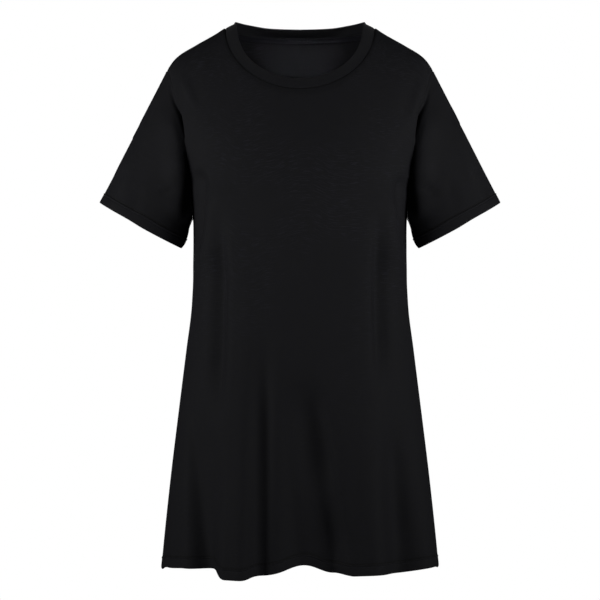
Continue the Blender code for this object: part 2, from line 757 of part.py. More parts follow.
def build_sleeve(grid, name, mirrored, finish):
    """A sleeve: the wearer's left one, or the right one as its mirror image."""
    points, normals, thickness = grid
    inner = points - normals * thickness[..., None]
    vertices, faces = wall_mesh(points, inner, wrapped=True)
    if mirrored:
        vertices = vertices * [-1, 1, 1]
    make_object(name, vertices, faces, finish)


def main():
    for old in list(bpy.data.objects):
        bpy.data.objects.remove(old, do_unlink=True)
    jersey = material("black_jersey", BLACK_JERSEY, KNIT_ROUGHNESS)
    rib = material("black_rib", BLACK_RIB, KNIT_ROUGHNESS)
    twill = material("black_twill", BLACK_TWILL, TWILL_ROUGHNESS)
    front = panel_grid(FRONT)
    back = panel_grid(BACK)
    sleeve = sleeve_grid(front, back)
    build_panel(FRONT, front, jersey)
    build_panel(BACK, back, jersey)
    for name, mirrored in (("sleeve_left", False), ("sleeve_right", True)):
        build_sleeve(sleeve, name, mirrored, jersey)
    make_object("neck_band", *loops_mesh(neck_band_loops(front, back)), rib)
    make_object("neck_tape", *wall_mesh(*neck_tape_grids(back), wrapped=False), twill)


main()
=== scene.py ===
"""Looks of a plain T-shirt dress in black jersey, filled out as when worn.

Each cloth is a thin shell on its solids' form, with its listed creases and its hems turned
up and stitched. Sizes of the dress are in millimetres, and MM turns them into metres. The studio's
are in metres.
Frame: +Z up, the front faces -Y, and +X is the wearer's left.
"""

import logging
import math
from dataclasses import dataclass, field, fields, replace
from enum import Enum
from functools import cached_property
from typing import Any, Iterable, Mapping, Sequence

import bpy
import numpy as np
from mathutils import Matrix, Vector


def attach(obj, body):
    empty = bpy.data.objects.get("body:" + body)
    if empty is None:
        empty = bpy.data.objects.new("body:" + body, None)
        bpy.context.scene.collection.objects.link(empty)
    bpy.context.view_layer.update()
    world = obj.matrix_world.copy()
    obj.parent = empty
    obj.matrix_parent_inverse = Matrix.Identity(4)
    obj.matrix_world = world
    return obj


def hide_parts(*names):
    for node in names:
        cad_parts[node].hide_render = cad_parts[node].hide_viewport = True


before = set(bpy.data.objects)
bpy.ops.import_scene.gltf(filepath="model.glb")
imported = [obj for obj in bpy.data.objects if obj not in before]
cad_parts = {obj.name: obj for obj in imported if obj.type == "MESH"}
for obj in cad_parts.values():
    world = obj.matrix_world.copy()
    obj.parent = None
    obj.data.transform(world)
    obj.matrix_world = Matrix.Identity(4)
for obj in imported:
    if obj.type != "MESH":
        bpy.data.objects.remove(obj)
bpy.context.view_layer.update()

Array = np.ndarray
Place = tuple[float, float]
Spot = tuple[float, float, float]
Colour = tuple[float, float, float, float]

MM = 0.001
TINY = 0.001  # what a divisor is at least, and the step that a slope is taken over
FADE = 0.35  # the share of a crease that each of its ends usually fades over
THREAD_SIDES = 6
DRESS_MIDDLE: Spot = (0.0, 0.0, -0.435)
BODY = "root"
UV_NAME = "cloth"
# the name of the mesh attribute that carries painted shade for the seams' ditches and the hem's groove
SEAM_SHADE_NAME = "seam"
OUTWARD_NAME = "outward"

log = logging.getLogger("tshirt_dress")


class Face(Enum):
    """Which way a panel looks."""

    FRONT = -1
    BACK = 1


class Side(Enum):
    """A side of the wearer, as the sign of its X."""

    LEFT = 1
    RIGHT = -1


class Way(Enum):
    """A place across, as the camera sees it and as the sign of its X."""

    LEFT = -1
    MIDDLE = 0
    RIGHT = 1


class Slot(Enum):
    """The record's material slots."""

    JERSEY = "black_jersey"
    RIB = "black_rib"
    TWILL = "black_twill"


# Curves, tables and small vector tools


class SmoothCurve:
    """A monotone cubic curve through its knots, which never overshoots between them."""

    def __init__(self, knots: Sequence[float], values: Sequence[float]) -> None:
        """Works out the curve's slopes.

        Args:
            knots: The places, rising.
            values: The curve's value at each of them.
        """
        self.x = np.asarray(knots, float)
        self.y = np.asarray(values, float)
        self.width = np.diff(self.x)
        slope = np.diff(self.y) / self.width
        self.tangent = np.zeros_like(self.y)
        self.tangent[0] = slope[0]
        self.tangent[-1] = slope[-1]
        for i in range(1, len(self.x) - 1):
            if slope[i - 1] * slope[i] > 0:
                near = 2 * self.width[i] + self.width[i - 1]
                far = self.width[i] + 2 * self.width[i - 1]
                self.tangent[i] = (near + far) / (near / slope[i - 1] + far / slope[i])

    def __call__(self, at: Any) -> Array:
        """The curve's value at a place or an array of places."""
        at = np.clip(at, self.x[0], self.x[-1])
        i = np.clip(np.searchsorted(self.x, at) - 1, 0, len(self.width) - 1)
        wide = self.width[i]
        s = (at - self.x[i]) / wide
        low = (1 + 2 * s) * (1 - s) ** 2 * self.y[i] + s * (1 - s) ** 2 * wide * self.tangent[i]
        high = s**2 * (3 - 2 * s) * self.y[i + 1] + s**2 * (s - 1) * wide * self.tangent[i + 1]
        return low + high


def ease(share: Any) -> Array:
    """A smooth step from 0 to 1."""
    share = np.clip(share, 0, 1)
    return share**2 * (3 - 2 * share)


def bell(distance: Any, width: Any) -> Array:
    """A smooth bump of height 1 that fades over a width."""
    return np.exp(-((distance / width) ** 2))


def unit(vectors: Array) -> Array:
    """The vectors at length 1."""
    return vectors / np.linalg.norm(vectors, axis=-1, keepdims=True)


def walked(points: Array, axis: int = 0) -> Array:
    """How far along a run, or a grid's runs, of points each one is."""
    steps = np.linalg.norm(np.diff(points, axis=axis), axis=-1)
    start = np.zeros_like(np.take(steps, [0], axis=axis))
    return np.concatenate([start, np.cumsum(steps, axis=axis)], axis=axis)


def walked_share(points: Array) -> Array:
    """How far along an open run of points each one is, from 0 to 1."""
    length = walked(points)
    return length / length[-1]


def resampled(wanted: Array, gone: Array, values: Array) -> Array:
    """The values of a run of points at wanted distances along it."""
    return np.stack([np.interp(wanted, gone, column) for column in values.T], axis=-1)


def table(kind: type, columns: Sequence[str], *rows: Sequence[Any]) -> tuple[Any, ...]:
    """A table's rows as objects of a kind. A row may leave out last columns that have a usual value."""
    return tuple(kind(**dict(zip(columns, row))) for row in rows)


def placed(name: str, data: bpy.types.ID) -> bpy.types.Object:
    """A new object in the scene."""
    made = bpy.data.objects.new(name, data)
    bpy.context.scene.collection.objects.link(made)
    return made


@dataclass(frozen=True)
class Section:
    """A level ring round the body."""

    z: float
    half_width: float
    front: float
    back: float
    square: float


SECTIONS = table(
    Section,
    ("z", "half_width", "front", "back", "square"),
    (-863.0, 221.3, 147.0, 143.0, 2.15),
    (-803.0, 215.5, 144.0, 139.0, 2.15),
    (-707.0, 205.1, 138.0, 134.0, 2.15),
    (-611.0, 193.4, 131.0, 127.0, 2.20),
    (-515.0, 181.4, 124.5, 117.0, 2.20),
    (-443.0, 172.6, 120.5, 106.0, 2.25),
    (-395.0, 170.5, 119.5, 99.5, 2.30),
    (-320.0, 170.5, 119.5, 98.5, 2.30),
    (-290.0, 172.0, 119.5, 100.0, 2.35),
    (-243.0, 177.0, 119.5, 103.0, 2.50),
    (-215.0, 184.0, 119.5, 104.0, 2.60),
    (-180.0, 196.5, 119.5, 104.0, 2.70),
    (-153.0, 203.4, 119.5, 104.0, 2.70),
    (-114.0, 210.0, 119.5, 104.0, 2.70),
    (-69.6, 213.3, 119.5, 104.0, 2.70),
)


@dataclass(frozen=True)
class RidgePoint:
    """A point of the shoulder line, which runs on across the open neck."""

    x: float
    z: float


RIDGE = table(
    RidgePoint,
    ("x", "z"),
    (0.0, 40.0),
    (60.0, 30.0),
    (100.0, 12.0),
    (119.5, 0.0),
    (134.0, -9.6),
    (167.8, -28.8),
    (197.7, -48.0),
    (210.3, -64.0),
    (213.3, -69.6),
)


@dataclass(frozen=True)
class ArmholePoint:
    """A point of an armhole's edge, by its height and its distance from the shoulder plane."""

    z: float
    out: float


FRONT_ARMHOLE = table(
    ArmholePoint,
    ("z", "out"),
    (-243.0, 0.0),
    (-239.0, 15.0),
    (-225.0, 30.0),
    (-200.0, 42.0),
    (-171.0, 47.0),
    (-142.0, 43.0),
    (-115.0, 31.0),
    (-90.0, 19.0),
    (-77.0, 11.0),
    (-69.6, 0.0),
)

BACK_ARMHOLE = table(
    ArmholePoint,
    ("z", "out"),
    (-243.0, 0.0),
    (-239.0, 12.0),
    (-225.0, 25.0),
    (-200.0, 38.0),
    (-171.0, 45.0),
    (-142.0, 43.0),
    (-115.0, 35.0),
    (-90.0, 23.0),
    (-77.0, 13.0),
    (-69.6, 0.0),
)


@dataclass(frozen=True)
class Fold:
    """A crest or trough of the skirt, which runs down to the hem.

    across is its place between the side seams, from -1 to 1, at the fold's start and at the hem.
    rise is how far it stands out of the plain ring at the hem, and lift how far it raises the hem.
    """

    across_top: float
    across_hem: float
    start_z: float
    rise: float
    lift: float


def fold_table(*rows: Sequence[float]) -> tuple[Fold, ...]:
    """Folds from a table whose columns are named here."""
    return table(Fold, ("across_top", "across_hem", "start_z", "rise", "lift"), *rows)


FRONT_FOLDS = fold_table(
    (-1.000, -1.000, -600.0, 0.0, 1.0),
    (-0.995, -0.930, -600.0, 3.0, 9.0),
    (-0.990, -0.800, -600.0, 3.0, 12.0),
    (-0.975, -0.650, -560.0, -17.0, 13.0),
    (-0.550, -0.500, -430.0, 14.0, 0.8),
    (-0.450, -0.400, -400.0, 16.0, 0.8),
    (-0.280, -0.250, -400.0, 0.0, 6.5),
    (-0.150, 0.030, -500.0, -33.0, 19.4),
    (0.000, 0.260, -500.0, -37.0, 7.0),
    (0.160, 0.390, -400.0, -9.0, 4.3),
    (0.600, 0.520, -400.0, 7.0, 6.5),
    (0.780, 0.740, -540.0, -24.0, 3.4),
    (0.970, 0.940, -600.0, 4.0, 9.0),
    (1.000, 1.000, -600.0, 0.0, 4.0),
)

BACK_FOLDS = fold_table(
    (-1.00, -1.000, -600.0, 0.0, 4.0),
    (-0.84, -0.800, -480.0, 9.0, 3.0),
    (-0.58, -0.540, -520.0, -24.0, 12.0),
    (-0.30, -0.240, -440.0, 17.0, 4.0),
    (0.02, 0.080, -500.0, -30.0, 14.0),
    (0.36, 0.400, -440.0, 19.0, 3.0),
    (0.66, 0.700, -540.0, -19.0, 9.0),
    (0.90, 0.900, -560.0, 4.0, 2.0),
    (1.00, 1.000, -600.0, 0.0, 1.0),
)


@dataclass(frozen=True)
class Crease:
    """A soft ridge or trough laid along a short path.

    The path's places are (x, z), as seen square to the front or the back, and it runs downwards.
    rise is how far it moves the cloth out, and left and right how wide it is towards -X and +X.
    It fades in and out over the shares of its length that fade_in and fade_out give.
    """

    path: tuple[Place, ...]
    rise: float
    left: float
    right: float
    fade_in: float = FADE
    fade_out: float = FADE

    def push(self, x: Array, z: Array) -> Array:
        """How far the crease moves the cloth out.

        Args:
            x: Where the cloth's points are across.
            z: Their heights.

        Returns:
            The distance for each point, in millimetres.
        """
        nearest = np.full(np.shape(x), np.inf)
        along = np.zeros(np.shape(x))
        beside = np.zeros(np.shape(x))
        start = 0.0
        for (ax, az), (bx, bz) in zip(self.path, self.path[1:]):
            length = math.hypot(bx - ax, bz - az)
            step_x, step_z = (bx - ax) / length, (bz - az) / length
            gone = np.clip((x - ax) * step_x + (z - az) * step_z, 0, length)
            off_x, off_z = x - ax - gone * step_x, z - az - gone * step_z
            distance = np.hypot(off_x, off_z)
            closer = distance < nearest
            nearest = np.where(closer, distance, nearest)
            along = np.where(closer, start + gone, along)
            beside = np.where(closer, step_x * off_z - step_z * off_x, beside)
            start += length
        share = along / start
        shown = ease(share / max(self.fade_in, TINY)) * ease((1 - share) / max(self.fade_out, TINY))
        return self.rise * shown * bell(nearest, np.where(beside > 0, self.right, self.left))


def crease_table(*rows: Sequence[Any]) -> tuple[Crease, ...]:
    """Creases from a table whose columns are named here."""
    return table(Crease, ("path", "rise", "left", "right", "fade_in", "fade_out"), *rows)


FRONT_CREASES = crease_table(
    # the two long soft steps beside the belly
    (((-102, -270), (-102, -400), (-106, -640)), 4.0, 10, 30),
    (((-123, -270), (-123, -400), (-128, -640)), -11.0, 17, 9),
    (((102, -276), (102, -400), (106, -590)), 4.0, 30, 10),
    (((122, -276), (122, -400), (125, -590)), -11.0, 9, 17),
    # the pull at each underarm
    (((-162, -225), (-152, -262), (-154, -320), (-167, -385)), -8.5, 14, 10, 0.15),
    (((-148, -235), (-139, -280), (-144, -345), (-160, -400)), 10.0, 11, 34, 0.4),
    (((162, -235), (154, -268), (157, -325), (169, -395)), -8.5, 10, 14, 0.15),
    (((150, -245), (142, -288), (148, -345), (163, -400)), 10.0, 34, 11, 0.4),
    # the roll of the shoulder beside each armhole
    (((-190, -74), (-178, -105), (-163, -140)), 1.8, 6, 9),
    (((-178, -70), (-164, -105), (-150, -150)), -0.9, 8, 16),
    (((200, -76), (186, -118), (172, -168)), 1.8, 9, 6),
    (((188, -72), (172, -112), (156, -160)), -0.8, 16, 8),
    # the sharper lines in the skirt's folds
    (((-56, -470), (-55, -680), (-54, -870)), -17.0, 22, 15, 0.4, 0),
    (((-148, -590), (-134, -720), (-128, -845)), -5.0, 28, 16, FADE, 0.5),
    (((14, -550), (38, -690), (58, -790), (70, -850)), -8.5, 44, 17, FADE, 0.2),
    (((8, -540), (24, -640), (40, -740)), -9.0, 32, 22),
    (((40, -745), (48, -790), (59, -845)), -3.0, 6, 4),
    (((138, -610), (146, -740), (152, -840)), -5.0, 18, 16),
)

BACK_CREASES = crease_table(
    (((-20, -130), (-26, -220), (-18, -330)), -1.8, 16, 12),
    (((36, -150), (48, -260), (44, -380)), -1.5, 12, 17),
    (((-104, -250), (-112, -360), (-108, -520)), -3.2, 12, 9),
    (((-88, -260), (-92, -360), (-90, -500)), 1.5, 10, 14),
    (((112, -270), (118, -390), (112, -560)), -3.0, 9, 13),
    (((94, -300), (98, -400), (96, -540)), 1.4, 14, 10),
    (((-164, -252), (-160, -310), (-150, -376)), -3.6, 10, 8),
    (((-148, -262), (-144, -320), (-134, -370)), 1.4, 6, 12),
    (((165, -256), (158, -300), (152, -352)), -3.2, 8, 10),
    (((174, -282), (170, -318), (166, -350)), -1.4, 4, 5),
    (((-182, -78), (-170, -112), (-160, -160)), 1.5, 6, 9),
    (((186, -76), (174, -116), (164, -166)), 1.5, 9, 6),
    (((-60, -470), (-34, -486), (2, -490)), -1.3, 7, 8),
    (((6, -455), (40, -470), (70, -468)), -1.1, 8, 7),
    (((-122, -600), (-112, -730), (-118, -870)), -4.4, 10, 7, FADE, 0),
    (((18, -560), (14, -700), (17, -870)), -5.4, 8, 10, FADE, 0),
    (((148, -640), (154, -740), (158, -860)), -3.6, 9, 9, FADE, 0.1),
    (((60, -620), (56, -720), (60, -820)), 1.8, 12, 10),
    (((-70, -640), (-66, -760), (-64, -870)), -2.2, 10, 14, FADE, 0),
)

SLEEVE_CREASES = {
    Side.RIGHT: {
        Face.FRONT: crease_table(
            (((-286, -222), (-300, -258), (-309, -292)), -2.4, 8, 8),
            (((-262, -186), (-276, -238), (-290, -284)), 1.8, 8, 12),
            (((-228, -112), (-240, -140), (-246, -168)), -1.2, 5, 7),
            (((-208, -118), (-203, -145), (-194, -190), (-193, -268)), 6.5, 20, 9),
            (((-188, -190), (-186, -250), (-193, -312)), 7.0, 20, 7, FADE, 0.2),
            (((-196, -256), (-206, -263), (-222, -270)), -1.3, 6, 5),
            (((-250, -250), (-262, -290), (-268, -312)), -1.1, 9, 9),
        ),
        Face.BACK: crease_table(
            (((-238, -130), (-256, -190), (-270, -250)), -2.2, 9, 12),
            (((-212, -170), (-216, -230), (-212, -290)), -2.0, 12, 10),
            (((-262, -214), (-282, -262), (-292, -296)), 1.5, 10, 10),
        ),
    },
    Side.LEFT: {
        Face.FRONT: crease_table(
            (((270, -206), (286, -240), (302, -286)), -2.6, 8, 8),
            (((246, -140), (262, -190), (282, -262)), 1.8, 12, 8),
            (((236, -122), (244, -146), (252, -160)), -1.1, 6, 5),
            (((206, -120), (201, -147), (191, -192), (190, -266)), 6.5, 9, 20),
            (((186, -192), (184, -252), (191, -312)), 7.0, 7, 20, FADE, 0.2),
            (((192, -252), (204, -262), (218, -272)), -1.5, 5, 7),
            (((236, -232), (240, -268), (250, -304)), -1.2, 10, 10),
        ),
        Face.BACK: crease_table(
            (((236, -120), (250, -180), (258, -246)), -2.0, 12, 9),
            (((210, -180), (214, -240), (208, -300)), -2.2, 10, 12),
            (((274, -224), (284, -258), (300, -292)), -1.4, 8, 9),
        ),
    },
}


# The cloth's grids and meshes


@dataclass(frozen=True)
class HemRow:
    """A row of points near a turned-up hem: how far it is above the edge, and its shape there.

    rise moves the outer face out, and wall is how thick the turned-up cloth is.
    """

    above: float
    rise: float
    wall: float


@dataclass(frozen=True)
class Hem:
    """A turned-up hem with two rows of stitches, each in its own groove, and painted shade in the upper
    groove.
    """

    rows: tuple[HemRow, ...] = table(
        HemRow,
        ("above", "rise", "wall"),
        (0.0, -0.45, 0.7),
        (0.35, 0.0, 1.4),
        (1.0, 0.35, 1.9),
        (3.0, 0.45, 2.0),
        (6.0, 0.45, 2.0),
        (9.0, 0.45, 2.0),
        (12.0, 0.45, 2.0),
        (13.6, 0.35, 1.8),
        (14.2, 0.0, 1.4),
        (14.8, 0.5, 1.9),
        (16.0, 1.1, 2.3),
        (17.0, 0.5, 1.8),
        (17.6, -0.3, 1.1),
        (18.3, -0.1, 1.1),
        (19.2, 0.0, 0.8),
        (21.0, 0.0, 0.8),
    )
    stitched_rows: tuple[int, ...] = (8, 12)
    groove_at: float = 17.9
    groove_width: float = 1.4
    painted_groove_shade: float = 1.0

    def heights(self) -> Array:
        """How far above the edge each row is."""
        return np.array([row.above for row in self.rows])

    def rises(self, above: Array) -> Array:
        """How far out the hem moves the outer face at distances above its edge."""
        return np.interp(above, self.heights(), [row.rise for row in self.rows])

    def walls(self, above: Array) -> Array:
        """The cloth's thickness at distances above the edge."""
        return np.interp(above, self.heights(), [row.wall for row in self.rows])

    def shade(self, above: Array) -> Array:
        """How near each point is to the bottom of the upper groove, from its distance above the edge, as the
        strength of the painted shade there.
        """
        return self.painted_groove_shade * bell(above - self.groove_at, self.groove_width)


@dataclass
class ClothGrid:
    """A grid of points on the outer face of a cloth, its normals, thickness and flat places.

    seam is how near each point is to the bottom of a seam's ditch or a hem's groove, from 0 to 1: how much
    painted shade its colour gets.
    """

    points: Array
    normals: Array
    wall: Array
    flat: Array
    seam: Array
    wrapped: bool = False

    def stitch_line(self, row: int, proud: float) -> "SeamLine":
        """A row of the grid as a line to sew along, proud of the cloth."""
        return SeamLine(self.points[row] + proud * self.normals[row], self.normals[row], self.wrapped)

    def mirrored(self) -> "ClothGrid":
        """The same cloth on the wearer's other side."""
        flip = np.array([-1.0, 1.0, 1.0])
        return replace(self, points=self.points * flip, normals=self.normals * flip)


@dataclass
class SeamLine:
    """A line to sew along: its points, the outward direction at each, and whether it is closed."""

    points: Array
    normals: Array
    closed: bool


def quads(rows: int, columns: int, down: int, across: int, flat: Array) -> tuple[Array, Array]:
    """The quads of a grid of points, as vertex numbers and as their corners' flat places.

    Args:
        rows: How many rows of points it has.
        columns: How many columns of points.
        down: How many rows of quads, one for each row of points where the last joins the first.
        across: How many columns of quads.
        flat: The flat places, with one more row or column than the points where they join.

    Returns:
        Four numbers and four places for each quad.
    """
    i, j = np.meshgrid(np.arange(down), np.arange(across), indexing="ij")
    below, after = (i + 1) % rows, (j + 1) % columns
    numbers = [i * columns + j, i * columns + after, below * columns + after, below * columns + j]
    places = [flat[i, j], flat[i, j + 1], flat[i + 1, j + 1], flat[i + 1, j]]
    return np.stack(numbers, -1).reshape(-1, 4), np.stack(places, -2).reshape(-1, 4, 2)


@dataclass
class MeshMaker:
    """Makes a mesh object in metres from points in millimetres."""

    name: str
    material: bpy.types.Material

    def from_grid(self, grid: ClothGrid) -> bpy.types.Object:
        """The closed shell of a cloth.

        Args:
            grid: Its outer face.

        Returns:
            The object.
        """
        rows, columns = grid.points.shape[:2]
        count = rows * columns
        inner = grid.points - grid.normals * grid.wall[..., None]
        vertices = np.concatenate([grid.points.reshape(-1, 3), inner.reshape(-1, 3)])
        across = columns if grid.wrapped else columns - 1
        outer, places = quads(rows, columns, rows - 1, across, grid.flat)
        faces = [outer, outer[:, ::-1] + count]
        corners = [places, places[:, ::-1]]
        index = np.arange(count).reshape(rows, columns)
        flat = grid.flat[:, :columns].reshape(-1, 2)
        loops = [index[0], index[-1][::-1]]
        if not grid.wrapped:
            loops = [np.concatenate([index[0], index[1:, -1], index[-1, -2::-1], index[-2:0:-1, 0]])]
        for loop in loops:
            after = np.roll(loop, -1)
            faces.append(np.stack([loop, loop + count, after + count, after], -1))
            corners.append(np.stack([flat[loop], flat[loop], flat[after], flat[after]], -2))
        made = self.from_faces(vertices, np.concatenate(faces), np.concatenate(corners))
        # the seam attribute carries painted shade for the ditches and the hem's groove, on both faces
        near = made.data.attributes.new(SEAM_SHADE_NAME, "FLOAT", "POINT")
        near.data.foreach_set("value", np.tile(grid.seam.ravel(), 2))
        return made

    def from_loops(self, loops: Array, flat: Array) -> bpy.types.Object:
        """A ring-shaped body made of closed loops, the last joined to the first.

        Args:
            loops: The loops' points.
            flat: The flat place of each, with one more loop and one more column than the points.

        Returns:
            The object.
        """
        rows, columns = loops.shape[:2]
        return self.from_faces(loops.reshape(-1, 3), *quads(rows, columns, rows, columns, flat))

    def from_faces(self, vertices: Array, faces: Array, places: Array) -> bpy.types.Object:
        """An object of quads with its flat places as a UV map, and with its faces outwards.

        Args:
            vertices: Its points.
            faces: Four vertex numbers for each face.
            places: The flat place of each face's corners.

        Returns:
            The object.
        """
        a, b, c, d = (vertices[faces[:, corner]] for corner in range(4))
        volume = np.einsum("ij,ij->i", a, np.cross(b, c) + np.cross(c, d)).sum()
        if volume < 0:
            faces, places = faces[:, ::-1], places[:, ::-1]
        mesh = bpy.data.meshes.new(self.name)
        mesh.from_pydata((vertices * MM).tolist(), [], faces.tolist())
        mesh.uv_layers.new(name=UV_NAME).data.foreach_set("uv", (places * MM).ravel())
        mesh.shade_smooth()
        mesh.materials.append(self.material)
        return placed(self.name, mesh)


def settle(piece: bpy.types.Object, slot: Slot, *nodes: str) -> None:
    """Makes a piece ride on the dress and stand for CAD nodes.

    Args:
        piece: The object.
        slot: Not used.
        nodes: The nodes that it replaces.
    """
    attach(piece, BODY)
    if nodes:
        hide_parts(*nodes)


def sheet_area(piece: bpy.types.Object) -> float:
    """Half of a closed shell's surface, which is the area of its cloth in square metres."""
    return sum(face.area for face in piece.data.polygons) / 2


def hang(piece: bpy.types.Object, width: float, length: float) -> None:
    """Logs a hung cloth's cut, its flat width and length in metres, and its area."""
    area = sheet_area(piece)
    min(area, width * length)
    log.info("%s: cut %.3f x %.3f m, %.3f m2", piece.name, width, length, area)


# The worn form


@dataclass
class WornForm:
    """The filled-out body of the dress, from its rings and its shoulder line."""

    sections: tuple[Section, ...] = SECTIONS
    ridge: tuple[RidgePoint, ...] = RIDGE
    hem_z: float = SECTIONS[0].z
    underarm_z: float = FRONT_ARMHOLE[0].z
    tip_x: float = RIDGE[-1].x
    tip_z: float = RIDGE[-1].z
    neck_half_width: float = 119.5
    fold_top_z: float = -500.0
    fold_growth: float = 1.25
    curves: dict[str, SmoothCurve] = field(default_factory=dict)

    def __post_init__(self) -> None:
        """Works out the curves of the tables' columns, which for the rings are all but z."""
        heights = [row.z for row in self.sections]
        for column in fields(Section)[1:]:
            values = [getattr(row, column.name) for row in self.sections]
            self.curves[column.name] = SmoothCurve(heights, values)
        self.curves["ridge"] = SmoothCurve([row.x for row in self.ridge], [row.z for row in self.ridge])

    def at(self, column: str, place: Any) -> Array:
        """The value of a column's curve."""
        return self.curves[column](place)


@dataclass
class PanelCloth:
    """A body panel: its cut, its place on the worn form, its folds and creases, and its hem."""

    name: str
    nodes: tuple[str, ...]
    face: Face
    form: WornForm
    yoke_z: float
    yoke_pull: float
    neck_drop: float
    armhole: tuple[ArmholePoint, ...]
    folds: tuple[Fold, ...]
    creases: tuple[Crease, ...]
    hem: Hem = field(default_factory=Hem)
    shoulder_columns: int = 40
    neck_columns: int = 84
    armhole_rows: int = 56
    skirt_rows: int = 118
    blend_from: float = -0.1
    gather: float = 3.0
    armhole_spread: float = 3.0
    tip_crowding: float = 1.4
    seam_gap: float = 0.008
    seam_steps: tuple[Place, ...] = ((0.7, 0.2), (1.6, 0.45), (3.0, 0.75))
    neck_ditch: float = 1.6
    seam_ditch: float = 0.5
    ditch_width: float = 1.4
    # painted shade in the seams' ditches: its strength at the side seams, and its widths at the sides and at
    # the neck
    seam_shade: float = 0.5
    shade_width: float = 1.2
    neck_shade_width: float = 2.3
    roll_rise: float = 0.35
    roll_at: float = 3.6
    roll_width: float = 1.8
    calm_side: float = 14.0
    calm_top: float = 9.0
    climb_steps: int = 400
    first_guess: float = 0.8
    rounds: int = 60

    def climb(self, h: Array) -> Array:
        """How far up its yoke the panel is, as a share of the way to the shoulder."""
        turn = (1 - np.clip(h, 0, 1)) * math.pi / 2
        return np.cos(turn) * (1 - self.yoke_pull * np.sin(turn) ** 2)

    def drape(self, across: Array, z: Array) -> tuple[Array, Array]:
        """How far the skirt's folds push the panel out and raise it.

        Args:
            across: Places between the side seams, from -1 to 1.
            z: Their heights.

        Returns:
            The two distances.
        """
        form = self.form
        down = np.clip((form.fold_top_z - z) / (form.fold_top_z - form.hem_z), 0, 1)
        places, rises, lifts = [], [], []
        for fold in self.folds:
            grown = np.clip((fold.start_z - z) / (fold.start_z - form.hem_z), 0, 1) ** form.fold_growth
            places.append(fold.across_top + (fold.across_hem - fold.across_top) * down)
            rises.append(fold.rise * grown)
            lifts.append(fold.lift * grown)
        rise, lift = np.zeros_like(z), np.zeros_like(z)
        for i in range(len(places) - 1):
            share = (across - places[i]) / (places[i + 1] - places[i])
            blend = (1 - np.cos(math.pi * np.clip(share, 0, 1))) / 2
            inside = (share >= 0) & (share <= 1)
            rise = np.where(inside, rises[i] + (rises[i + 1] - rises[i]) * blend, rise)
            lift = np.where(inside, lifts[i] + (lifts[i + 1] - lifts[i]) * blend, lift)
        return rise, lift

    def points(self, p: Array, h: Array) -> Array:
        """Points of the panel before its creases.

        Args:
            p: From -1 to 1 between the side seams.
            h: -1 at the hem, 0 where the yoke starts and 1 on the shoulder line.

        Returns:
            The points.
        """
        form = self.form
        turn = (1 - np.clip(h, 0, 1)) * math.pi / 2
        climb = self.climb(h)
        below = self.yoke_z + h * (self.yoke_z - form.hem_z)
        ring_z = np.where(h > 0, self.yoke_z + (form.tip_z - self.yoke_z) * climb, below)
        square = form.at("square", ring_z)
        sine = np.sign(p) * np.abs(np.sin(p * math.pi / 2)) ** (2 / square)
        cosine = np.abs(np.cos(p * math.pi / 2)) ** (2 / square)
        width = form.at("half_width", ring_z)
        depth = form.at(self.face.name.lower(), np.minimum(ring_z, self.yoke_z)) * np.sin(turn)
        across, out = width * sine, depth * cosine
        ridge = form.at("ridge", form.tip_x * np.abs(sine))
        z = np.where(h > 0, self.yoke_z + (ridge - self.yoke_z) * climb, ring_z)
        rise, lift = self.drape(sine, ring_z)
        lean_across = np.sign(p) * np.abs(sine) ** (square - 1) / width
        lean_out = cosine ** (square - 1) / np.maximum(depth, 1)
        lean = np.hypot(lean_across, lean_out)
        across = across + rise * lean_across / lean
        out = out + rise * lean_out / lean
        return np.stack([-self.face.value * across, self.face.value * out, z + lift], axis=-1)

    def normals(self, p: Array, h: Array) -> Array:
        """Outward directions, square to the panel before its creases."""
        right, left = np.clip(p + TINY, -1, 1), np.clip(p - TINY, -1, 1)
        over, under = np.clip(h + TINY, -1, 1), np.clip(h - TINY, -1, 1)
        along = self.points(right, h) - self.points(left, h)
        up = self.points(p, over) - self.points(p, under)
        return unit(np.cross(along, up))

    def place(self, z: Any, x: Any = None, out: Any = None) -> tuple[Array, Array]:
        """Where on the panel points at a height are, from a first guess that each round makes better.

        Args:
            z: The heights.
            x: How far the points are from the middle.
            out: Or how far out they are.

        Returns:
            p and h of the points, on the side where p is above 0.
        """
        form = self.form
        z = np.asarray(z, float)
        heights = np.linspace(0, 1, self.climb_steps)
        climbs = self.climb(heights)
        sine = np.full(z.shape, self.first_guess)
        for _ in range(self.rounds):
            climb = (z - self.yoke_z) / (form.at("ridge", form.tip_x * sine) - self.yoke_z)
            below = (z - self.yoke_z) / (self.yoke_z - form.hem_z)
            h = np.where(climb > 0, np.interp(climb, climbs, heights), below)
            ring_z = np.where(h > 0, self.yoke_z + (form.tip_z - self.yoke_z) * np.maximum(climb, 0), z)
            square = form.at("square", ring_z)
            if x is not None:
                found = np.minimum(x / form.at("half_width", ring_z), 1)
            else:
                depth = form.at(self.face.name.lower(), np.minimum(ring_z, self.yoke_z))
                depth = depth * np.sin((1 - np.maximum(h, 0)) * math.pi / 2)
                cosine = np.minimum(out / np.maximum(depth, TINY), 1)
                found = (1 - cosine**square) ** (1 / square)
            sine = (sine + found) / 2
        return 2 / math.pi * np.arcsin(np.minimum(sine, 1) ** (square / 2)), h

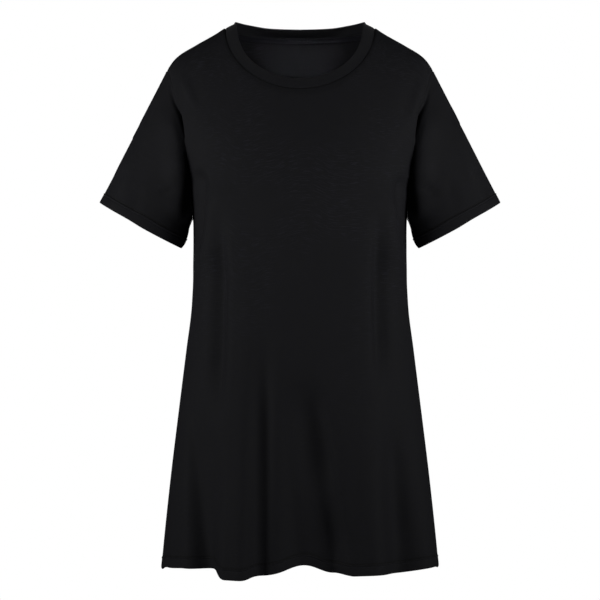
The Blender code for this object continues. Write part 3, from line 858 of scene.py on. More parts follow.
    def side_places(self) -> tuple[Array, Array]:
        """p and h of each row at the panel's side: the hem, the side seam, then the armhole."""
        form = self.form
        levels = list(form.hem_z + self.hem.heights())
        levels += list(np.linspace(levels[-1], form.underarm_z, self.skirt_rows + 1)[1:-1])
        seam_h = self.place(levels, x=form.at("half_width", levels))[1]
        steps = [math.hypot(b.z - a.z, b.out - a.out) for a, b in zip(self.armhole, self.armhole[1:])]
        gone = np.cumsum([0] + steps)
        walks = gone[-1] * (1 - np.linspace(1, 0, self.armhole_rows + 1)[:-1] ** self.tip_crowding)
        edge_z = SmoothCurve(gone, [point.z for point in self.armhole])(walks)
        edge_out = SmoothCurve(gone, [point.out for point in self.armhole])(walks)
        edge_p, edge_h = self.place(edge_z, out=edge_out)
        p = np.concatenate([np.ones_like(seam_h), edge_p, [1.0]])
        h = np.concatenate([seam_h, edge_h, [1.0]])
        return p, h

    def top_places(self) -> tuple[Array, Array]:
        """p and h of each column at the panel's top edge: shoulder, neck, shoulder."""
        form = self.form
        share = np.linspace(form.tip_x, form.neck_half_width, self.shoulder_columns + 1) / form.tip_x
        shoulder_p = 2 / math.pi * np.arcsin(share ** (form.at("square", form.tip_z) / 2))
        shoulder = np.stack([shoulder_p, np.ones_like(shoulder_p)], axis=-1)
        angle = np.linspace(math.pi / 2, 0, 4 * self.neck_columns)
        drop = -self.neck_drop * np.cos(angle)
        neck = np.stack(self.place(drop, x=form.neck_half_width * np.sin(angle)), axis=-1)
        neck[0] = shoulder[-1]
        gone = walked_share(self.points(*neck.T))
        even = np.linspace(0, 1, self.neck_columns // 2 + 1)[1:]
        right = np.concatenate([shoulder, resampled(even, gone, neck)])
        p, h = np.concatenate([right * [-1, 1], right[-2::-1]]).T
        return p, h

    def refined(self, p: Array, h: Array, axis: int, last: bool) -> tuple[Array, Array]:
        """The grid's places with finer steps beside one of its edges.

        Args:
            p: The places across.
            h: The places up.
            axis: 0 for an edge along a row and 1 for one along a column.
            last: Whether the edge is the last row or column.

        Returns:
            p and h with the steps put in.
        """
        edge, beside = (-1, -2) if last else (0, 1)
        ends = [np.take(grid, edge, axis=axis) for grid in (p, h)]
        nexts = [np.take(grid, beside, axis=axis) for grid in (p, h)]
        room = np.linalg.norm(self.points(*ends) - self.points(*nexts), axis=-1)
        for distance, most in self.seam_steps if last else self.seam_steps[::-1]:
            share = np.minimum(distance / room, most)
            where = p.shape[axis] - 1 - self.seam_steps.index((distance, most)) if last else 1
            p = np.insert(p, where, ends[0] + share * (nexts[0] - ends[0]), axis=axis)
            h = np.insert(h, where, ends[1] + share * (nexts[1] - ends[1]), axis=axis)
        return p, h

    @cached_property
    def grid(self) -> ClothGrid:
        """The panel's outer face with its folds, creases, seams and hem."""
        side_p, side_h = self.side_places()
        top_p, top_h = self.top_places()
        even = np.linspace(-1, 1, len(top_p))
        drawn = ease((side_h - self.blend_from) / (1 - self.blend_from))[:, None]
        gathered = np.clip(side_h, 0, 1)[:, None] ** self.gather
        drawn_in = (1 - side_p[:, None]) * np.sign(even) * np.abs(even) ** self.armhole_spread
        p = even - drawn_in + gathered * (top_p - even)
        h = side_h[:, None] - drawn * (1 - top_h)
        p, h = self.refined(p, h, axis=0, last=True)
        p, h = self.refined(p, h, axis=1, last=True)
        p, h = self.refined(p, h, axis=1, last=False)
        smooth = self.points(p, h)
        normals = self.normals(p, h)
        seams = self.seam_mask(p.shape)
        smooth[seams, 1] = self.face.value * self.seam_gap / 2
        normals[seams, 1] = 0
        normals = unit(normals)
        across, up = walked(smooth, axis=1), walked(smooth, axis=0)
        side = np.minimum(across, across[:, -1:] - across)
        top = up[-1:] - up
        moved = smooth + normals * self.relief(smooth, side, top)[..., None]
        moved[seams, 1] = smooth[seams, 1]
        leaning = unit(np.cross(np.gradient(moved, axis=1), np.gradient(moved, axis=0)))
        fixed = seams.copy()
        fixed[-1] = True
        fixed[self.underarm_row() :, [0, -1]] = True
        leaning[fixed] = normals[fixed]
        flat = np.stack([across - across[:, -1:] / 2, up], axis=-1)
        # painted shade, in the seams' ditches and the hem's groove
        seam = np.maximum(self.painted_shade_nearness(side, top), self.hem.shade(up))
        return ClothGrid(moved, leaning, self.hem.walls(up), flat, seam)

    def relief(self, points: Array, side: Array, top: Array) -> Array:
        """How far creases, seams and hem move the cloth out.

        Args:
            points: The cloth's points before it.
            side: How far each is from the side seam or the armhole.
            top: How far each is from the shoulder seam or the neck.

        Returns:
            The distance for each point.
        """
        x, z = points[..., 0], points[..., 2]
        creased = sum(crease.push(x, z) for crease in self.creases)
        calm = ease(side / self.calm_side) * ease(top / self.calm_top)
        rolled = self.roll_rise * sum(bell(far - self.roll_at, self.roll_width) for far in (side, top))
        first, last = self.neck_span(points.shape[1])
        ditch = np.full(points.shape[1], self.seam_ditch)
        ditch[first:last] = self.neck_ditch
        at_top = ditch * bell(top, self.ditch_width)
        at_side = self.seam_ditch * bell(side, self.ditch_width) * (top > 0)
        ditched = np.minimum(at_top + at_side, self.neck_ditch)
        return creased * calm + rolled - ditched + self.hem.rises(walked(points, axis=0))

    def painted_shade_nearness(self, side: Array, top: Array) -> Array:
        """How much painted shade each point gets in a seam's ditch, from its distances to the side and the
        top.
        """
        first, last = self.neck_span(side.shape[1])
        shown = np.full(side.shape[1], self.seam_shade)
        shown[first:last] = 1
        at_top = shown * bell(top, self.neck_shade_width)
        return np.maximum(at_top, self.seam_shade * bell(side, self.shade_width))

    def neck_span(self, columns: int) -> tuple[int, int]:
        """The first column of the neck's edge and the one after its last."""
        beside = self.shoulder_columns + len(self.seam_steps)
        return beside, columns - beside

    def underarm_row(self) -> int:
        """The row that ends at the underarm."""
        return len(self.hem.rows) + self.skirt_rows - 1

    def seam_mask(self, shape: tuple[int, ...]) -> Array:
        """Which points of the grid lie on the side seams or the shoulder seams."""
        mask = np.zeros(shape, bool)
        mask[: self.underarm_row() + 1, [0, -1]] = True
        first, last = self.neck_span(shape[1])
        mask[-1, : first + 1] = True
        mask[-1, last - 1 :] = True
        return mask

    def build(self, finish: bpy.types.Material) -> None:
        """Makes the panel's object, in place of its solids."""
        made = MeshMaker(self.name, finish).from_grid(self.grid)
        settle(made, Slot.JERSEY, *self.nodes)
        across, up = self.grid.flat[len(self.hem.rows), :, 0], self.grid.flat[-1, :, 1]
        hang(made, np.ptp(across) * MM, up.max() * MM)


def leaving(edge: Array, normals: Array) -> Array:
    """Directions in a cloth's surface, square to an edge of it, that point to the edge's left."""
    return unit(np.cross(normals, np.gradient(edge, axis=0)))


@dataclass
class SleeveCloth:
    """The sleeves: a loft from the armhole to the cuff, worked out on the wearer's left."""

    form: WornForm
    front: PanelCloth
    back: PanelCloth
    hem: Hem = field(default_factory=Hem)
    lean: float = math.radians(29.3)
    cuff_centre: Spot = (255.5, 0.0, -316.0)
    cuff_half_width: float = 74.6
    cuff_half_depth: float = 36.0
    cuff_sag: float = 2.0
    clearance: float = 0.7
    parts_z: float = -322.0
    parts_over: float = 22.0
    pulled_most: float = 12.0
    clear_from: float = 0.2
    valley_depth: float = 3.0
    valley_reach: float = 14.0
    valley_spread: float = 1.5
    folded_until: float = -0.1
    free_from: float = 0.45
    fold_lift: float = 6.0
    fold_run: float = 0.25
    underarm_turn: float = 24.0
    underarm_out: Spot = (1.0, 0.0, 0.1)
    underarm_flare: Spot = (0.75, 0.0, -0.66)
    widest_z: float = -171.0
    touch_growth: float = 1.6
    seam_gap: float = 0.05
    seam_ditch: float = 0.45
    ditch_width: float = 1.6
    # painted shade in the armhole seam's ditch: its strength and width
    seam_shade: float = 0.5
    shade_width: float = 1.2
    crease_calm: float = 12.0
    crease_turn: float = 10.0
    tip_step: int = 4
    tip_calm: float = 8.0
    tuck_depth: float = 11.0
    tuck_at: float = 5.0
    tuck_width: float = 5.0
    tuck_from: float = -74.0
    tuck_over: float = 110.0
    tuck_beside: float = 16.0
    rows: int = 74
    first_rows: tuple[float, ...] = (0.0, 0.5, 1.2, 2.2, 3.5, 5.2)

    def armhole_ring(self) -> tuple[Array, Array, Array, int]:
        """The armhole on the wearer's left, from the underarm up the front and down the back.

        Returns:
            Its points, the panels' normals there, directions that leave the panels, and the
            shoulder tip's place in the ring.
        """
        front, back = self.front.grid, self.back.grid
        low_front, low_back = self.front.underarm_row(), self.back.underarm_row()
        front_edge, front_lean = front.points[low_front:, -1], front.normals[low_front:, -1]
        back_edge, back_lean = back.points[low_back:, 0], back.normals[low_back:, 0]
        front_away = -leaving(front_edge, front_lean)
        back_away = leaving(back_edge, back_lean)
        ring = np.concatenate([front_edge, back_edge[-2:0:-1]])
        away = np.concatenate([front_away, back_away[-2:0:-1]])
        normals = np.concatenate([front_lean, back_lean[-2:0:-1]])
        tip = len(front_edge) - 1
        ring[[0, tip], 1] = 0
        away[tip] = unit((front.points[-1, -1] - front.points[-1, -1 - self.tip_step]) * [1, 0, 1])
        away[0] = (0, 0, 1)
        gone = np.abs(walked(ring) - walked(ring)[tip])
        for way in (-1, 1):
            clear = tip + way
            while gone[clear] < self.tip_calm:
                clear += way
            for i in range(tip + way, clear, way):
                away[i] = unit(away[tip] + gone[i] / gone[clear] * (away[clear] - away[tip]))
        return ring, normals, away, tip

    def body_side_x(self, points: Array) -> Array:
        """x of the body's outer face level with points and as far from the shoulder plane."""
        reach = np.zeros(points.shape[:-1])
        for panel, mask in ((self.front, points[..., 1] < 0), (self.back, points[..., 1] >= 0)):
            lower = [row for row in panel.armhole if row.z <= self.widest_z]
            out = np.abs(points[mask, 1])
            edge_z = np.interp(out, [row.out for row in lower], [row.z for row in lower])
            p, h = panel.place(points[mask, 2], out=out)
            x = np.abs(panel.points(p, h)[..., 0])
            reach[mask] = np.where(points[mask, 2] > edge_z, 0, x)
        return reach

    def smooth_grid(self) -> tuple[Array, Array, Array]:
        """The sleeve before its creases.

        Returns:
            Its points by rings, the seam's normals, and how far each point is from the cuff.
        """
        ring, seam_normals, away, tip = self.armhole_ring()
        share = np.empty(len(ring))
        share[: tip + 1] = 0.5 * walked_share(ring[: tip + 1])
        share[tip:] = (0.5 + 0.5 * walked_share(np.concatenate([ring[tip:], ring[:1]])))[:-1]
        angle = share * 2 * math.pi
        flat = np.array([math.cos(self.lean), 0, math.sin(self.lean)])
        axis = np.array([math.sin(self.lean), 0, -math.cos(self.lean)])
        side = np.abs(np.sin(angle))[:, None]
        cuff = np.array(self.cuff_centre) + self.cuff_sag * side**2 * axis
        cuff = cuff - self.cuff_half_width * np.cos(angle)[:, None] * flat
        cuff = cuff - self.cuff_half_depth * np.sin(angle)[:, None] * np.array([0, 1, 0])
        low = ((1 + np.cos(angle)) / 2)[:, None] ** 2
        start = ring + self.seam_gap * away
        straight = cuff - start
        reach = np.linalg.norm(straight, axis=1)[:, None]
        ahead = np.sum(away * unit(straight), axis=1)[:, None]
        hanging = ease((ahead - self.folded_until) / (self.free_from - self.folded_until))
        folded = away * (self.fold_lift * low + (1 - low) * self.fold_run * reach)
        folded = folded + np.array(self.underarm_out) * self.underarm_turn * low
        leave = folded + hanging * (straight - folded)
        arrive = straight + low * (np.array(self.underarm_flare) * reach - straight)
        hem_top = self.hem.rows[-1].above
        near = np.array(self.first_rows)[:, None] / reach.T
        far = (reach.T - hem_top) / reach.T
        middle = near[-1] + (far - near[-1]) * np.linspace(0, 1, self.rows + 1)[1:-1, None]
        last = 1 - self.hem.heights()[::-1, None] / reach.T
        t = np.concatenate([near, middle, last])[..., None]
        points = (1 + 2 * t) * (1 - t) ** 2 * start + t * (1 - t) ** 2 * leave
        points = points + t**2 * (3 - 2 * t) * cuff + t**2 * (t - 1) * arrive
        gone = t * reach / self.valley_reach
        dent = self.valley_depth * side**self.valley_spread * gone * np.exp(1 - gone)
        beside = bell(t * reach - self.tuck_at, self.tuck_width) * ease(t * reach / self.tuck_at)
        dent = dent + self.tuck_depth * self.tucked(start) * beside
        points[..., 1:2] += dent * np.sign(-points[..., 1:2])
        clear = self.body_side_x(points) + self.clearance * ease(t[..., 0] / self.clear_from)
        touching = np.minimum(self.touch_growth * low.T, 1)
        touching = touching * ease((points[..., 2] - self.parts_z) / self.parts_over)
        gap = np.clip(points[..., 0] - clear, 0, self.pulled_most)
        pulled = np.maximum(points[..., 0], clear) - touching * gap
        points[1:, :, 0] = pulled[1:]
        return points, seam_normals, (1 - t[..., 0]) * reach.T

    def grid(self, laid: Mapping[Face, Sequence[Crease]]) -> ClothGrid:
        """The outer face of a sleeve on the wearer's left.

        Args:
            laid: Its creases, as seen from the front and from the back.

        Returns:
            Its grid.
        """
        smooth, seam_normals, above = self.smooth_grid()
        normals = self.square_to(smooth)
        gone = walked(smooth, axis=0)
        x, z = smooth[..., 0], smooth[..., 2]
        moved = np.zeros_like(x)
        for face, creases in laid.items():
            seen = ease(0.5 + face.value * smooth[..., 1] / self.crease_turn)
            moved += seen * sum(crease.push(x, z) for crease in creases)
        moved = moved * ease(gone / self.crease_calm)
        moved -= self.seam_ditch * bell(gone, self.ditch_width)
        moved += self.hem.rises(above)
        points = smooth + normals * moved[..., None]
        points[0] = smooth[0]
        normals = self.square_to(points)
        normals[0] = seam_normals
        wide = walked(np.concatenate([smooth, smooth[:, :1]], axis=1), axis=1)
        middle = wide[len(wide) // 2]
        along = np.concatenate([gone, gone[:, :1]], axis=1)
        flat = np.stack([np.broadcast_to(middle, along.shape), -along], axis=-1)
        # painted shade in the armhole seam's ditch and the hem's groove
        seam = np.maximum(self.seam_shade * bell(gone, self.shade_width), self.hem.shade(above))
        return ClothGrid(points, normals, self.hem.walls(above), flat, seam, wrapped=True)

    def tucked(self, seam: Array) -> Array:
        """How much of the tuck beside the armhole's seam each of its columns has: none on top."""
        down = ease((self.tuck_from - seam[:, 2]) / self.tuck_over)
        return (down * ease(np.abs(seam[:, 1]) / self.tuck_beside))[:, None]

    @staticmethod
    def square_to(points: Array) -> Array:
        """Outward directions of a closed grid of rings."""
        along = np.roll(points, -1, axis=1) - np.roll(points, 1, axis=1)
        return unit(np.cross(np.gradient(points, axis=0), along))

    def build(self, side: Side, finish: bpy.types.Material) -> ClothGrid:
        """Makes a sleeve's object, in place of its solid.

        Args:
            side: The wearer's side that it is on.
            finish: Its material.

        Returns:
            The sleeve's grid, for its stitches.
        """
        laid = {}
        for face, creases in SLEEVE_CREASES[side].items():
            laid[face] = [self.on_left(crease, side) for crease in creases]
        grid = self.grid(laid)
        if side is Side.RIGHT:
            grid = grid.mirrored()
        name = side.name.lower()
        made = MeshMaker(f"sleeve_{name}_cloth", finish).from_grid(grid)
        settle(made, Slot.JERSEY, f"sleeve_{name}")
        hang(made, np.ptp(grid.flat[..., 0]) * MM, np.ptp(grid.flat[..., 1]) * MM)
        return grid

    @staticmethod
    def on_left(crease: Crease, side: Side) -> Crease:
        """A crease as it lies on the left sleeve, from the one on a side."""
        path = tuple((abs(x), z) for x, z in crease.path)
        left, right = (crease.left, crease.right)[:: side.value]
        return replace(crease, path=path, left=left, right=right)


@dataclass
class NeckBand:
    """The doubled ribbed band round the neck."""

    front: PanelCloth
    back: PanelCloth
    width: float = 19.0
    thickness: float = 2.2
    edge: float = 0.9
    bend: float = 0.9
    lean_front: float = math.radians(59)
    lean_side: float = math.radians(26)
    lean_back: float = math.radians(36)
    lean_corner: float = math.radians(28)
    seam_gap: float = 0.05
    cloth: float = 0.8
    foot: float = 0.1
    fold_from: float = 0.93
    corner_step: int = 3
    reaches: tuple[float, ...] = (0, 0.02, 0.05, 0.1, 0.2, 0.35, 0.5, 0.65, 0.8, 0.9, 0.95, 0.98, 0.993, 1.0)

    def ring(self) -> tuple[Array, Array, Array]:
        """The neck seam, from the wearer's right shoulder along the front, then the back.

        Returns:
            Its points, the panels' normals there, and directions that leave the panels.
        """
        parts = []
        for panel in (self.front, self.back):
            first, last = panel.neck_span(panel.grid.points.shape[1])
            edge, lean = panel.grid.points[-1, first:last], panel.grid.normals[-1, first:last]
            parts.append((edge, lean, leaving(edge, lean)))
        (front_edge, front_lean, front_away), (back_edge, back_lean, back_away) = parts
        ring = np.concatenate([front_edge, back_edge[1:-1]])
        normals = np.concatenate([front_lean, back_lean[1:-1]])
        away = np.concatenate([front_away, back_away[1:-1]])
        top = self.front.grid.points[-1]
        first, last = self.front.neck_span(len(top))
        besides = (first - self.corner_step, last - 1 + self.corner_step)
        for corner, beside in zip((0, len(front_edge) - 1), besides):
            ring[corner, 1] = 0
            away[corner] = unit((ring[corner] - top[beside]) * [1, 0, 1])
        return ring, normals, away

    def half_wall(self, reach: float) -> float:
        """Half of the band's thickness, at a share of the way from its seam to its fold."""
        full = self.thickness / 2
        if reach < self.foot:
            return self.edge / 2 + (full - self.edge / 2) * float(ease(reach / self.foot)) ** 0.5
        past = max(reach - self.fold_from, 0) / (1 - self.fold_from)
        return full * math.sqrt(max(1 - past**2, 0))

    def loops(self) -> tuple[Array, Array]:
        """The closed loops of the band and their flat places.

        Returns:
            The loops' points, from the outer seam edge over the fold to the inner one, and where
            each lies flat, along the band and across it.
        """
        ring, normals, away = self.ring()
        tangent = np.roll(ring, -1, axis=0) - np.roll(ring, 1, axis=0)
        inward = unit(np.stack([-tangent[:, 1], tangent[:, 0], np.zeros(len(ring))], axis=-1))
        lean = self.lean_side * inward[:, 0] ** 2
        lean = lean + np.where(inward[:, 1] > 0, self.lean_front, self.lean_back) * inward[:, 1] ** 2
        lean = lean + self.lean_corner * (2 * inward[:, 0] * np.minimum(inward[:, 1], 0)) ** 2
        climb = unit(inward * np.cos(lean)[:, None] + np.array([0, 0, 1]) * np.sin(lean)[:, None])
        tangent = unit(tangent)
        climb = unit(climb - np.sum(climb * tangent, axis=-1, keepdims=True) * tangent)
        middle = ring + self.seam_gap * away - self.cloth / 2 * normals
        bend = self.bend * (away - climb)
        profile = [(reach, 1) for reach in self.reaches]
        profile += [(reach, -1) for reach in self.reaches[-2::-1]]
        loops = []
        for reach, way in profile:
            path = middle + self.width * (reach * climb + reach * (1 - reach) * bend)
            outside = unit(np.cross(tangent, climb + (1 - 2 * reach) * bend))
            outside = np.where(np.sum(outside * normals, axis=-1, keepdims=True) < 0, -outside, outside)
            if reach == 0:
                outside = normals
            loops.append(path + way * self.half_wall(reach) * outside)
        loops = np.array(loops)
        along = walked(np.concatenate([ring, ring[:1]]))
        across = walked(np.concatenate([loops, loops[:1]]))[:, len(ring) // 4]
        flat = np.stack(np.meshgrid(along, across), axis=-1)
        return loops, flat

    def build(self, finish: bpy.types.Material) -> None:
        """Makes the band's object, in place of its solid."""
        loops, flat = self.loops()
        made = MeshMaker("neck_band_rib", finish).from_loops(loops, flat)
        settle(made, Slot.RIB, "neck_band")
        length = flat[0, -1, 0] * MM
        self.width * MM
        log.info("neck_band_rib: %.3f m round, %.4f m2 folded", length, sheet_area(made))


@dataclass
class NeckTape:
    """The twill tape that covers the back neck seam inside."""

    back: PanelCloth
    width: float = 11.0
    thickness: float = 1.0
    gap: float = 0.25
    cloth: float = 0.8
    inset: int = 8
    rows: int = 9
    from_top: float = 0.4
    zigzag_half: float = 19.0
    zigzag_pitch: float = 1.6
    zigzag_rise: float = 1.5
    zigzag_proud: float = 0.15

    @cached_property
    def grid(self) -> ClothGrid:
        """The tape's face towards the panel, as a grid whose normals point at the panel."""
        back = self.back.grid
        first, last = self.back.neck_span(back.points.shape[1])
        columns = slice(first + self.inset, last - self.inset)
        up = walked(back.points[::-1, columns], axis=0)
        wanted = self.from_top + self.width * np.linspace(1, 0, self.rows)
        points = self.at_depth(back.points[::-1, columns], up, wanted)
        normals = unit(self.at_depth(back.normals[::-1, columns], up, wanted))
        points = points - (self.cloth + self.gap) * normals
        wall = np.full(points.shape[:2], self.thickness)
        flat = np.stack(np.broadcast_arrays(walked(points[-1]), wanted[:, None]), axis=-1)
        return ClothGrid(points, normals, wall, flat, np.zeros(wall.shape))

    @staticmethod
    def at_depth(values: Array, down: Array, wanted: Array) -> Array:
        """Values of each column of a grid at wanted distances down it."""
        columns = zip(down.T, values.transpose(1, 0, 2))
        return np.stack([resampled(wanted, gone, column) for gone, column in columns], axis=1)

    def line(self, share: float, proud: float) -> SeamLine:
        """A line along the inner face of the tape, at a share of the way up it."""
        grid = self.grid
        row = share * (self.rows - 1)
        low, part = int(row), row - int(row)
        high = min(low + 1, self.rows - 1)
        points = grid.points[low] * (1 - part) + grid.points[high] * part
        normals = unit(grid.normals[low] * (1 - part) + grid.normals[high] * part)
        inner = points - (self.thickness + proud) * normals
        return SeamLine(inner, -normals, closed=False)

    def zigzag(self) -> SeamLine:
        """The zigzag of thread at the middle of the tape."""
        middle = self.line(0.5, self.zigzag_proud)
        gone = walked(middle.points)
        centre = gone[-1] / 2
        turns = np.arange(-self.zigzag_half, self.zigzag_half, self.zigzag_pitch / 2)
        points = resampled(centre + turns, gone, middle.points)
        normals = unit(resampled(centre + turns, gone, middle.normals))
        sideways = unit(np.cross(normals, np.gradient(points, axis=0)))
        swing = self.zigzag_rise * np.where(np.arange(len(turns)) % 2 == 0, 1, -1)
        return SeamLine(points + swing[:, None] * sideways, normals, closed=False)

    def build(self, finish: bpy.types.Material) -> None:
        """Makes the tape's object, in place of its solid."""
        made = MeshMaker("neck_tape_twill", finish).from_grid(self.grid)
        settle(made, Slot.TWILL, "neck_tape")
        length = np.ptp(self.grid.flat[..., 0]) * MM
        self.width * MM
        log.info("neck_tape_twill: %.3f m long", length)


# Node trees


class TreeMaker:
    """A node tree that is being made, with one method for its nodes."""

    def __init__(self, tree: bpy.types.NodeTree) -> None:
        """Keeps the tree."""
        self.tree = tree

    def node(self, kind: str, settings: Mapping[str, Any], inputs: Mapping[Any, Any]) -> bpy.types.Node:
        """A node with its settings and inputs.

        Args:
            kind: Its type.
            settings: Its properties, set first.
            inputs: Values, signals or other sockets for its sockets, by name or number.

        Returns:
            The node.
        """
        made = self.tree.nodes.new(kind)
        for name, value in settings.items():
            setattr(made, name, value)
        for name, value in inputs.items():
            self.feed(made.inputs[name], value)
        return made

    def out(self, kind: str, settings: Mapping[str, Any], inputs: Mapping[Any, Any]) -> bpy.types.NodeSocket:
        """The first output of a node with its settings and inputs."""
        return self.node(kind, settings, inputs).outputs[0]

    def feed(self, socket: bpy.types.NodeSocket, value: Any) -> None:
        """Sets a socket to a value, or links it to a signal or another socket."""
        if isinstance(value, Signal):
            value = value.socket
        if isinstance(value, bpy.types.NodeSocket):
            self.tree.links.new(value, socket)
        else:
            socket.default_value = value


class Signal:
    """A number that varies over a surface, whose arithmetic adds Math nodes."""

    def __init__(self, paint: "Paint", socket: bpy.types.NodeSocket) -> None:
        """Wraps an output socket of a material's tree."""
        self.paint = paint
        self.socket = socket

    def math(self, operation: str, *others: Any) -> "Signal":
        """The result of a Math node on this signal and others."""
        return self.paint.math(operation, self, *others)

    def __add__(self, other: Any) -> "Signal":
        """This signal and another."""
        return self.math("ADD", other)

    __radd__ = __add__

    def __sub__(self, other: Any) -> "Signal":
        """This signal less another."""
        return self.math("SUBTRACT", other)

    def __rsub__(self, other: float) -> "Signal":
        """A number less this signal."""
        return self.paint.math("SUBTRACT", other, self)

    def __mul__(self, other: Any) -> "Signal":
        """This signal times another."""
        return self.math("MULTIPLY", other)

    __rmul__ = __mul__

    def __truediv__(self, other: Any) -> "Signal":
        """This signal over another."""
        return self.math("DIVIDE", other)

    def __abs__(self) -> "Signal":
        """This signal without its sign."""
        return self.math("ABSOLUTE")

    def wave(self, period: float) -> "Signal":
        """A sine of this signal, from -1 to 1, with a period."""
        return (self * (2 * math.pi / period)).math("SINE")

    def ribs(self, period: float) -> "Signal":
        """A sine of this signal, from 0 to 1, with a period."""
        return self.wave(period) * 0.5 + 0.5

    def fraction(self) -> "Signal":
        """The part of this signal past a whole number."""
        return self.math("FRACT")

    def between(self, low: float, high: float) -> "Signal":
        """A smooth step from 0 at low to 1 at high."""
        settings = {"interpolation_type": "SMOOTHSTEP"}
        inputs = {"Value": self, "From Min": low, "From Max": high}
        return Signal(self.paint, self.paint.out("ShaderNodeMapRange", settings, inputs))


class Paint(TreeMaker):
    """A material that is being made."""

    def __init__(self, name: str) -> None:
        """Starts a material with its Principled BSDF."""
        self.material = bpy.data.materials.new(name)
        self.material.use_nodes = True
        super().__init__(self.material.node_tree)
        self.shader = self.tree.nodes["Principled BSDF"]

    def math(self, operation: str, *values: Any) -> Signal:
        """The result of a Math node on signals and numbers."""
        return Signal(self, self.out("ShaderNodeMath", {"operation": operation}, dict(enumerate(values))))

    def flat_place(self) -> tuple[Signal, Signal]:
        """Where a point lies on the flat cloth, across it and along it, in metres."""
        place = self.out("ShaderNodeUVMap", {"uv_map": UV_NAME}, {})
        split = self.node("ShaderNodeSeparateXYZ", {}, {0: place})
        return Signal(self, split.outputs[0]), Signal(self, split.outputs[1])

    def attribute(self, name: str) -> Signal:
        """A number that the mesh carries."""
        return Signal(self, self.node("ShaderNodeAttribute", {"attribute_name": name}, {}).outputs["Fac"])

    def object_place(self) -> bpy.types.NodeSocket:
        """Where a point is in the dress's own frame."""
        return self.node("ShaderNodeTexCoord", {}, {}).outputs["Object"]

    def vector(self, x: Any, y: Any) -> bpy.types.NodeSocket:
        """A vector from two signals or numbers."""
        return self.out("ShaderNodeCombineXYZ", {}, {0: x, 1: y})

    def noise(self, place: bpy.types.NodeSocket, scale: float, detail: float) -> Signal:
        """Smooth noise from 0 to 1."""
        inputs = {"Vector": place, "Scale": scale, "Detail": detail}
        return Signal(self, self.out("ShaderNodeTexNoise", {}, inputs))

    def blend(self, mask: Signal, low: Any, high: Any) -> bpy.types.NodeSocket:
        """A colour that is low where a mask is 0 and high where it is 1."""
        # a Mix node has its two colours on sockets 6 and 7, and their mix on output 2
        return self.node("ShaderNodeMix", {"data_type": "RGBA"}, {0: mask, 6: low, 7: high}).outputs[2]

    def bump(self, height: Signal, distance: float = 1.0) -> bpy.types.NodeSocket:
        """A normal that a height bends, by as much as the height times a distance."""
        return self.out("ShaderNodeBump", {}, {"Strength": 1.0, "Distance": distance, "Height": height})

    def finished(self, varying: Mapping[str, Any], constant: Mapping[str, Any]) -> bpy.types.Material:
        """The material, with the inputs of its shader that vary and those that don't."""
        for name, value in varying.items():
            self.feed(self.shader.inputs[name], value)
        for name, value in constant.items():
            self.shader.inputs[name].default_value = value
        return self.material


# Sewing, by Geometry Nodes


class NodeForest(TreeMaker):
    """A Geometry Nodes tree that sews along lines."""

    def __init__(self, name: str) -> None:
        """Starts a tree with a geometry going in and out."""
        super().__init__(bpy.data.node_groups.new(name, "GeometryNodeTree"))
        self.tree.is_modifier = True
        for way in ("INPUT", "OUTPUT"):
            self.tree.interface.new_socket("Geometry", in_out=way, socket_type="NodeSocketGeometry")
        self.inputs: dict[str, str] = {}
        self.entry = self.tree.nodes.new("NodeGroupInput")
        self.exit = self.tree.nodes.new("NodeGroupOutput")

    def size(self, name: str, value: float) -> bpy.types.NodeSocket:
        """A named length that the tree takes in.

        Args:
            name: The input's name.
            value: What it is if nothing sets it.

        Returns:
            Its socket inside the tree.
        """
        made = self.tree.interface.new_socket(name, in_out="INPUT", socket_type="NodeSocketFloat")
        made.default_value = value
        self.inputs[name] = made.identifier
        return self.entry.outputs[name]

    def line(self) -> bpy.types.NodeSocket:
        """The geometry that comes in, as curves."""
        return self.out("GeometryNodeMeshToCurve", {}, {"Mesh": self.entry.outputs["Geometry"]})

    def scaled(self, socket: bpy.types.NodeSocket, factor: float) -> bpy.types.NodeSocket:
        """A length times a number."""
        return self.out("ShaderNodeMath", {"operation": "MULTIPLY"}, {0: socket, 1: factor})

    def thread(self, path: bpy.types.NodeSocket, diameter: bpy.types.NodeSocket) -> bpy.types.NodeSocket:
        """A round thread along a curve."""
        inputs = {"Resolution": THREAD_SIDES, "Radius": self.scaled(diameter, 0.5)}
        profile = self.out("GeometryNodeCurvePrimitiveCircle", {}, inputs)
        inputs = {"Curve": path, "Profile Curve": profile, "Fill Caps": True}
        return self.out("GeometryNodeCurveToMesh", {}, inputs)

    def finish(self, geometry: bpy.types.NodeSocket, material: bpy.types.Material) -> None:
        """Realizes the instances and gives them their material."""
        real = self.out("GeometryNodeRealizeInstances", {}, {"Geometry": geometry})
        dressed = self.out("GeometryNodeSetMaterial", {}, {"Geometry": real, "Material": material})
        self.tree.links.new(dressed, self.exit.inputs[0])


